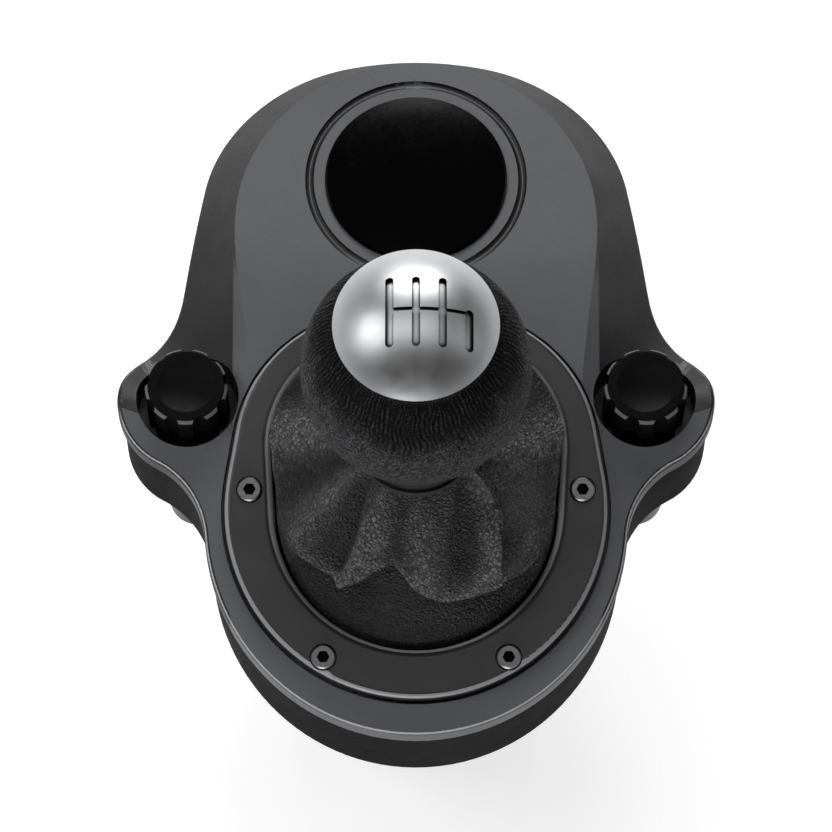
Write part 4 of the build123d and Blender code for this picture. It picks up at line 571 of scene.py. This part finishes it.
# Each ridge or valley: height, depth, half-width in degrees on its two sides, then (height share, angle)
RIDGES = [
    (3.0, 4.5, 15.0, [(0.38, 233), (0.57, 236), (0.73, 234), (0.88, 231), (1.0, 229)]),
    (-2.8, 12.0, 5.0, [(0.42, 226), (0.60, 226), (0.73, 220), (0.83, 212), (1.0, 200)]),
    (2.9, 11.0, 3.0, [(0.40, 309), (0.52, 313), (0.69, 325), (0.79, 336), (1.0, 352)]),
    (-2.8, 5.0, 14.0, [(0.44, 321), (0.52, 323), (0.66, 333), (0.76, 346), (1.0, 362)]),
    (-2.7, 10.0, 8.0, [(0.50, 296), (0.68, 304), (0.80, 312), (0.90, 326), (1.0, 334)]),
    (1.2, 12.0, 12.0, [(0.46, 279), (0.62, 276), (0.80, 271), (1.0, 268)]),
    (-1.3, 8.0, 9.0, [(0.52, 254), (0.70, 256), (0.85, 255), (1.0, 254)]),
    (1.3, 9.0, 9.0, [(0.36, 205), (0.55, 203), (0.80, 195), (1.0, 190)]),
    (2.1, 8.0, 12.0, [(0.26, 24), (0.50, 18), (0.75, 12), (1.0, 8)]),
    (-1.9, 9.0, 9.0, [(0.28, 44), (0.55, 40), (0.80, 33), (1.0, 28)]),
    (2.2, 12.0, 7.0, [(0.26, 66), (0.50, 62), (0.75, 60), (1.0, 57)]),
    (-2.0, 7.0, 12.0, [(0.26, 88), (0.50, 86), (0.75, 80), (1.0, 78)]),
    (2.2, 9.0, 9.0, [(0.26, 112), (0.50, 108), (0.75, 106), (1.0, 104)]),
    (-1.9, 10.0, 8.0, [(0.26, 134), (0.50, 133), (0.75, 130), (1.0, 131)]),
    (2.0, 8.0, 11.0, [(0.26, 158), (0.50, 155), (0.75, 155), (1.0, 156)]),
    (-1.6, 8.0, 9.0, [(0.28, 180), (0.50, 178), (0.75, 176), (1.0, 174)]),
]


def opening_reach(angle):
    """Distance from the front circle's middle to the boot's foot, for an array of angles."""
    along_x, along_y = np.abs(np.cos(angle)), np.sin(angle)
    best = np.zeros_like(angle)
    for share in np.linspace(0, 1, FOOT_STATIONS):
        x, y = SHOULDER_X * share, SHOULDER_RISE * share
        radius = LOBE_RADIUS + (SHOULDER_RADIUS - LOBE_RADIUS) * share
        along = along_x * x + along_y * y
        aside = along_x * y - along_y * x
        reach = along + np.sqrt(np.maximum(radius ** 2 - aside ** 2, 0))
        best = np.maximum(best, reach)
    return best - BASE_MARGIN


def station_values(column):
    """One column of the fold stations at every angle, rounded off a little."""
    angles = np.array([s[0] for s in FOLD_STATIONS], float)
    values = np.array([s[column] for s in FOLD_STATIONS], float)
    at = np.arange(BOOT_COLUMNS) * 360.0 / BOOT_COLUMNS
    wide = np.interp(at, np.concatenate([angles, angles[:1] + 360]), np.concatenate([values, values[:1]]))
    weights = np.exp(-(np.arange(-ROUNDING, ROUNDING + 1) / (ROUNDING / 2)) ** 2)
    weights = weights / weights.sum()
    return sum(np.roll(wide, k - ROUNDING) * weights[k] for k in range(2 * ROUNDING + 1))


def wall_curve(lip, lip_height, over, folded):
    """Shares of height and width up the boot's wall, from its foot and over the lip to its neck."""
    offset = lip - np.interp(lip_height, CONE_HEIGHTS, CONE_WIDTHS)
    knots = []

    def knot(height, width):
        knots.append(np.stack([height * np.ones(BOOT_COLUMNS), width * np.ones(BOOT_COLUMNS)], axis=-1))

    knot(0.0, 1.0)
    knot(0.09, 1.0)
    plain = np.interp(0.17, CONE_HEIGHTS, CONE_WIDTHS)
    knot(0.15, plain + (0.955 - plain) * folded)
    crease = lip_height - 0.075 * (0.4 + over)
    middle = (0.15 + crease) / 2
    knot(middle - 0.012 * folded, (0.955 + lip - 0.035 * (1 + over)) / 2 * folded
         + np.interp(middle, CONE_HEIGHTS, CONE_WIDTHS) * (1 - folded) - 0.015 * folded)
    knot(crease, lip - 0.095 * over - 0.02 * folded)
    knot(lip_height - 0.03 * (0.4 + over), lip - 0.025 * over)
    knot(lip_height, lip + 0.004 * over)
    for share in (0.10, 0.26, 0.44, 0.62, 0.80, 0.92, 1.0):
        height = lip_height + (1 - lip_height) * share
        width = np.interp(height, CONE_HEIGHTS, CONE_WIDTHS) + offset * (1 - share) ** 2
        knot(height, width)
    curve = spline_rows(np.stack(knots, axis=1), BOOT_ROWS)
    return curve[:, :, 0].T, curve[:, :, 1].T


def ridge_swell(height, degrees):
    """How far the ridges stand out and the valleys go in, in millimetres."""
    swell = np.zeros_like(height)
    for size, before, after, line in RIDGES:
        heights = [p[0] for p in line]
        angles = [p[1] for p in line]
        middle = np.interp(height, heights, angles)
        away = (degrees - middle + 180) % 360 - 180
        spread = np.where(away < 0, before, after)
        side = np.exp(-np.abs(away / spread) ** 1.5)
        start = np.clip((height - heights[0] + 0.06) / 0.10, 0, 1)
        finish = np.clip((1.02 - height) / 0.30, 0, 1) ** 0.8
        swell += size * side * start * start * (3 - 2 * start) * finish
    return swell


def light_and_shade_marks(height, lip_height, folded, swell):
    """Painted light and shade, from 0 under the lip to 1 on a crest: painted shadow under the lip, painted
    shade in valleys, painted light on ridges and along the lip's edge.
    """
    # Painted shadow under the lip, a little lighter on the flange
    under = np.clip((lip_height[None, :] - height) / 0.02, 0, 1) * folded[None, :]
    flange = np.clip((0.11 - height) / 0.04, 0, 1)
    # Painted light on ridges and painted shade in valleys
    light_mark = 0.50 + swell / 2.8
    # Painted highlight along the lip's edge
    edge = np.exp(-((height - lip_height[None, :] - 0.01) / 0.035) ** 2) * folded[None, :]
    light_mark = np.clip(light_mark + 0.45 * edge, 0.04, 1.0)
    return light_mark * (1 - under) + (0.04 + 0.40 * flange) * under


def boot_surface():
    """Outer surface of the boot, as rows of points from its foot to the top of its neck.

    Each point comes with its share of the boot's height and its mark of painted light and shade."""
    angle = np.arange(BOOT_COLUMNS) * 2 * math.pi / BOOT_COLUMNS
    reach = opening_reach(angle)
    lip, lip_height, over = (station_values(k) for k in (1, 2, 3))
    folded = np.clip((1.0 - lip) / FOLD_FADE, 0, 1)
    height, width = wall_curve(lip, lip_height, over, folded)
    swell = ridge_swell(height, np.degrees(angle)[None, :])
    radius = (NECK_RADIUS + (reach[None, :] - NECK_RADIUS) * width
              + swell * (0.25 + 0.75 * (width > 0.02)))
    pleat = PLEAT_DEPTH * np.cos(angle * PLEATS + 1.5 * np.sin(angle * 3))[None, :]
    radius = radius + pleat * np.clip((height - 0.72) / 0.28, 0, 1)
    limit = reach[None, :] + FOOT_SPREAD
    radius = np.where(height < 0.30, np.minimum(radius, limit), radius)

    base_y = EAR_Y + LOBE_Y * math.cos(SLOPE) + BASE_DROP * math.sin(SLOPE)
    base_z = EAR_Z + LOBE_Y * math.sin(SLOPE) - BASE_DROP * math.cos(SLOPE)
    tilt = SLOPE * (1 - height)
    y0 = base_y + (LEVER_Y - base_y) * height
    z0 = base_z + (NECK_Z - base_z) * height
    x = radius * np.cos(angle)[None, :]
    y = radius * np.sin(angle)[None, :]
    cone = np.stack([x, y0 + y * np.cos(tilt), z0 + y * np.sin(tilt)], axis=-1)
    top = []
    for k in range(1, NECK_ROWS + 1):
        z = NECK_Z + (NECK_TOP_Z - NECK_Z) * k / NECK_ROWS
        r = NECK_RADIUS + pleat[0] * (1 - 0.6 * k / NECK_ROWS)
        ring = [r * np.cos(angle), LEVER_Y + r * np.sin(angle), np.full(BOOT_COLUMNS, z)]
        top.append(np.stack(ring, axis=-1))
    light_mark = light_and_shade_marks(height, lip_height, folded, swell)
    neck = np.ones((NECK_ROWS, BOOT_COLUMNS))
    return (np.concatenate([cone, np.stack(top)]), np.concatenate([height, neck]),
            np.concatenate([light_mark, 0.5 * neck]))


def add_wrinkles(points, height):
    """Fine creases of the leather, pressed across the folds."""
    normal = grid_normals(points)
    flat = points * np.array([1.0, 1.0, 2.2])
    ripple = wave_noise(flat, *FINE_WAVES)
    coarse = wave_noise(points, *COARSE_WAVES)
    patch = 0.5 + 0.5 * np.tanh(wave_noise(points, *PATCH_WAVES))
    creased = -np.abs(ripple) ** 0.8
    amount = FINE_DEPTH * creased * (0.35 + 0.65 * patch) + COARSE_DEPTH * coarse
    fade = np.clip((height - 0.10) / 0.10, 0, 1) * np.clip((1.0 - height) / 0.10, 0.15, 1)
    return points + normal * (amount * fade)[..., None]


def shell_piece(name, outer, normal, material, wall, light_mark):
    """Closed piece with the outer rows, an inner wall and the two edges between them."""
    inner = outer - normal * wall
    rows, columns = outer.shape[:2]
    points = np.concatenate([outer.reshape(-1, 3), inner.reshape(-1, 3)])
    step = rows * columns
    faces = grid_faces(rows, columns)
    inside = faces[:, ::-1] + step
    index = np.arange(columns)
    nxt = np.roll(index, -1)
    low = np.stack([index, index + step, nxt + step, nxt], axis=-1)
    last = (rows - 1) * columns
    high = np.stack([index + last, nxt + last, nxt + last + step, index + last + step], axis=-1)
    made = mesh_object(name, points, np.concatenate([faces, inside, low, high]), material)
    normals = np.concatenate([normal.reshape(-1, 3), -normal.reshape(-1, 3)])
    made.data.normals_split_custom_set_from_vertices(normals.tolist())
    # The mark of painted light and shade, which the leather material reads
    marks = made.data.attributes.new("light_mark", "FLOAT", "POINT")
    marks.data.foreach_set("value", np.tile(light_mark.reshape(-1), 2).astype(np.float32))
    return made


def add_boot(material):
    """The boot's two pieces, the lower and the upper, split at SPLIT_SHARE of its height."""
    points, height, light_mark = boot_surface()
    points = add_wrinkles(points, height)
    normal = grid_normals(points)
    mean_height = height.mean(axis=1)
    split = int(np.argmin(np.abs(mean_height - SPLIT_SHARE)))
    below = slice(None, split + 1)
    above = slice(split, None)
    low = shell_piece("gaiter_lower", points[below], normal[below], material, SKIN, light_mark[below])
    high = shell_piece("gaiter_upper", points[above], normal[above], material, SKIN, light_mark[above])
    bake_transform(low)
    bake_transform(high)
    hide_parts("gear_boot")
    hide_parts("gear_boot")


# The knob's leather

GRIP_COLUMNS = 768
GRIP_ROWS = 190
GRIP_WALL = 2.0
CRINKLE = 0.42                  # depth of the gathered leather
CRINKLES = 128                  # creases round the ball
BALL_SHARE = 0.94               # of the rows, on the ball below the cap's rim
SMOOTHINGS = 3
PEBBLE_DEPTH = 0.07
SEAM_SHARE = 0.03               # of the height, over which the relief fades at both ends


def grip_profile(count):
    """Radius and height along the ball, from its foot on the collar to the neck under the cap."""
    neck = CAP_RIM_RADIUS - CAP_OVERHANG
    foot = math.asin((COLLAR_TOP_Z - BALL_Z) / BALL_RADIUS)
    shoulder = math.acos(neck / BALL_RADIUS)
    out = []
    for share in np.linspace(0, 1, count):
        if share < BALL_SHARE:
            t = foot + (shoulder - foot) * share / BALL_SHARE
            out.append((BALL_RADIUS * math.cos(t), BALL_RADIUS * math.sin(t)))
        else:
            low = BALL_RADIUS * math.sin(shoulder)
            rise = (share - BALL_SHARE) / (1 - BALL_SHARE)
            out.append((neck, low + (CAP_RIM_RISE - low) * rise))
    out = np.array(out)
    for _ in range(SMOOTHINGS):
        out[1:-1] = (out[:-2] + 2 * out[1:-1] + out[2:]) / 4
    return out


def grip_noise(cells_down, cells_round, seed):
    """Smooth noise on the grip's grid, which closes on itself along its rows."""
    values = np.random.default_rng(seed).random((cells_down + 3, cells_round))
    down = np.linspace(0, cells_down, GRIP_ROWS)
    round_ = np.arange(GRIP_COLUMNS) * cells_round / GRIP_COLUMNS
    i, j = down.astype(int), round_.astype(int)
    u, v = down - i, round_ - j
    u, v = (u * u * (3 - 2 * u))[:, None], (v * v * (3 - 2 * v))[None, :]
    i, j = i[:, None], j[None, :] % cells_round
    k = (j + 1) % cells_round
    near = values[i, j] * (1 - v) + values[i, k] * v
    far = values[i + 1, j] * (1 - v) + values[i + 1, k] * v
    return near * (1 - u) + far * u


def add_grip(material):
    """Leather stretched over the ball, gathered in fine crinkles below the cap."""
    profile = grip_profile(GRIP_ROWS)
    angle = np.arange(GRIP_COLUMNS) * 2 * math.pi / GRIP_COLUMNS
    share = np.linspace(0, 1, GRIP_ROWS)[:, None]
    bend = grip_noise(12, 36, 7) + 0.45 * grip_noise(34, 90, 8)
    phase = CRINKLES * (angle[None, :] + 0.10 * share) + 9.0 * bend
    field = np.abs(np.sin(phase / 2)) ** 0.8 - 0.62
    field = field * np.clip((grip_noise(26, 96, 12) - 0.12) / 0.5, 0.1, 1)
    patch = grip_noise(5, 30, 14) - 0.5
    gather = np.clip((share - 0.67 - 0.12 * patch) / 0.16, 0, 1)
    gather = gather * gather * (3 - 2 * gather)
    pebble = grip_noise(110, 330, 15) - 0.5
    relief = CRINKLE * field * gather + PEBBLE_DEPTH * pebble
    # Painted shade in the crinkles' valleys and over the gathered leather under the cap, with random tone
    # from the pebbles
    light_mark = np.clip(0.95 + 1.1 * field * gather + 0.35 * pebble - 0.66 * gather, 0.0, 1.0)
    radius, rise = profile[:, 0][:, None], profile[:, 1][:, None]
    slope = np.gradient(profile, axis=0)
    slope = slope / np.linalg.norm(slope, axis=1, keepdims=True)
    relief = relief * np.clip((1 - share) / SEAM_SHARE, 0, 1) * np.clip(share / SEAM_SHARE, 0, 1)
    r = radius + slope[:, 1][:, None] * relief
    z = BALL_Z + rise - slope[:, 0][:, None] * relief
    outer = np.stack([r * np.cos(angle), LEVER_Y + r * np.sin(angle), z], axis=-1)
    grip = shell_piece("knob_leather", outer, grid_normals(outer), material, GRIP_WALL, light_mark)
    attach(grip, "lever")
    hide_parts("knob_grip")


# Springs inside

DETENT_WIRE = 0.4
DETENT_TURNS = 5.5
REVERSE_WIRE = 1.1
REVERSE_TURNS = 7.5
CLOSED_TURNS = 1.0              # at each end of a spring
COIL_STEPS = 28                 # to a turn
COIL_SIDES = 10                 # of the wire


def coil_object(name, centre, axis, radius, wire, length, turns, material):
    """Round wire wound along an axis, with its last turns closed."""
    axis = Vector(axis).normalized()
    side = axis.orthogonal().normalized()
    other = axis.cross(side)
    points = []
    faces = []
    total = int(turns * COIL_STEPS)
    ends = CLOSED_TURNS * wire
    open_turns = turns - 2 * CLOSED_TURNS
    for k in range(total + 1):
        t = k / COIL_STEPS
        if t < CLOSED_TURNS:
            travel = t * wire
        elif t > turns - CLOSED_TURNS:
            travel = length - wire - (turns - t) * wire
        else:
            travel = ends + (t - CLOSED_TURNS) / open_turns * (length - wire - 2 * ends)
        a = t * 2 * math.pi
        way = side * math.cos(a) + other * math.sin(a)
        middle = Vector(centre) + axis * (travel + wire / 2) + way * radius
        for m in range(COIL_SIDES):
            b = 2 * math.pi * m / COIL_SIDES
            points.append(middle + way * (math.cos(b) * wire / 2) + axis * (math.sin(b) * wire / 2))
    for k in range(total):
        here = k * COIL_SIDES
        ahead = here + COIL_SIDES
        for m in range(COIL_SIDES):
            n = (m + 1) % COIL_SIDES
            faces.append((here + m, here + n, ahead + n, ahead + m))
    faces.append(tuple(range(COIL_SIDES - 1, -1, -1)))
    faces.append(tuple(total * COIL_SIDES + m for m in range(COIL_SIDES)))
    return mesh_object(name, np.array([list(p) for p in points]), faces, material)


def add_spring(node, body, along, wire, turns, material):
    """Wound wire in the place of a spring's plain sleeve. along is the number of its axis."""
    low, high = (np.array(corner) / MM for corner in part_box(node))
    centre = (low + high) / 2
    centre[along] = low[along]
    axis = [0.0, 0.0, 0.0]
    axis[along] = 1.0
    aside = (along + 1) % 3
    radius = (high[aside] - low[aside] - wire) / 2
    length = high[along] - low[along]
    spring = coil_object(node + "_wire", centre, axis, radius, wire, length, turns, material)
    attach(spring, body)
    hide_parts(node)
    return spring, low, high


def add_springs(material):
    """The detent spring, and the reverse spring, which gets a mesh of its own."""
    add_spring("detent_spring", "select_body", 0, DETENT_WIRE, DETENT_TURNS, material)
    spring, low, high = add_spring("reverse_spring", "shift_body", 2, REVERSE_WIRE, REVERSE_TURNS, material)
    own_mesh(spring)


def paint(material, *names):
    """Give the CAD nodes of these names one material."""
    for name in names:
        target = nodes[name]
        if not target.material_slots:
            target.data.materials.append(material)
        for slot in target.material_slots:
            slot.link = "OBJECT"
            slot.material = material


add_camera()
add_world()
add_floor()
add_light("rear_box", 180, 34, 1.0, (0.6, 0.36), 6.6)
add_light("top_box", 180, 88, 1.1, (1.0, 0.34), 2.2)
add_light("left_box", 264, 46, 1.1, (0.5, 0.5), 3.6)
add_light("right_box", 88, 40, 1.2, (0.5, 0.5), 0.7)
add_light("front_box", 350, 1, 0.9, (0.5, 0.14), 4.0)

# The cover's flanks get a painted shade and its front rims a painted highlight
cover = moulded_plastic("cover_charcoal", (0.105, 0.107, 0.113), 0.50, side=(0.006, 0.006, 0.0065),
                        edge=((0.50, 0.50, 0.51), 0.55, 0.88, -0.006), Specular_IOR_Level=0.4)
housing = moulded_plastic("housing_black", (0.010, 0.010, 0.011), 0.75, pitch=1500.0, texture=0.00012,
                          spread=0.5, Specular_IOR_Level=0.06)
satin = moulded_plastic("satin_black", (0.013, 0.013, 0.015), 0.36, texture=0.00002)
# The bezel's roundings get a painted highlight
bezel_satin = moulded_plastic("bezel_black", (0.016, 0.016, 0.018), 0.40, texture=0.00002,
                              edge=((0.30, 0.30, 0.31), 0.30, 0.93, None))
hidden_black = moulded_plastic("inner_black", (0.02, 0.02, 0.022), 0.55)
# The thumb knobs' top roundings get a painted highlight
gloss = polished_plastic("gloss_black", (0.0025, 0.0025, 0.003), 0.40, 0.06,
                         ((0.16, 0.16, 0.16), 0.20, 0.90))
disc_gloss = polished_plastic("badge_gloss", (0.0015, 0.0015, 0.0018), 0.14, 0.10)
hide = leather("boot_leather", (0.150, 0.150, 0.155), 950.0, 0.0016, 0.38, 460.0)
grip_hide = leather("grip_leather", (0.055, 0.055, 0.058), 1500.0, 0.0002, 0.50, 900.0, 0.04)
cap_metal = blasted_aluminium("cap_aluminium")
steel = brushed_metal("turned_steel", (0.52, 0.52, 0.53), 0.30)
oxide = socket_steel("plated_screw", (0.003, 0.003, 0.003), (0.15, 0.15, 0.155), 0.36)
plate = brushed_metal("rolled_steel", (0.50, 0.50, 0.51), 0.34, (1.0, 18.0, 1.0))
brass = brushed_metal("turned_brass", (0.62, 0.42, 0.16), 0.30)
casting = moulded_plastic("coated_metal", (0.022, 0.022, 0.025), 0.42, texture=0.00006, pitch=1500.0)
pad = rubber("soft_rubber")
board = lacquered_board("board_green")

paint(cover, "top_cover")
paint(housing, "lower_housing", "bottom_cover")
paint(satin, "knob_collar", "boot_clip", "reverse_switch")
paint(bezel_satin, "boot_bezel")
paint(disc_gloss, "round_badge")
paint(gloss, "thumb_knob_right", "thumb_knob_left", "board_socket")
paint(hidden_black, "select_sensor", "shift_sensor", "knob_core")
paint(hide, "gear_boot")
paint(grip_hide, "knob_grip")
paint(cap_metal, "knob_cap")
paint(oxide, "bezel_screws", "housing_screws", "bottom_screws", "frame_screws", "clamp_clips_right",
      "clamp_clips_left")
paint(steel, "yoke_pins", "detent_ball", "detent_spring", "carrier_tube", "carrier_pins", "reverse_spring",
      "lever_rod", "gate_pin", "stop_ring", "knob_pin", "centring_spring", "clamp_screw_right",
      "clamp_screw_left", "clamp_washer_right", "clamp_washer_left")
paint(plate, "gate_plate", "boot_retainer", "gate_screws", "board_screws")
paint(brass, "mount_inserts", "yoke_bushings", "jaw_nut_right", "jaw_nut_left")
paint(casting, "mechanism_frame", "select_yoke", "clamp_jaw_right", "clamp_jaw_left")
paint(pad, "table_pads", "cable_gland", "jaw_pad_right", "jaw_pad_left")
paint(board, "circuit_board")

add_boot(hide)
add_grip(grip_hide)
add_springs(steel)
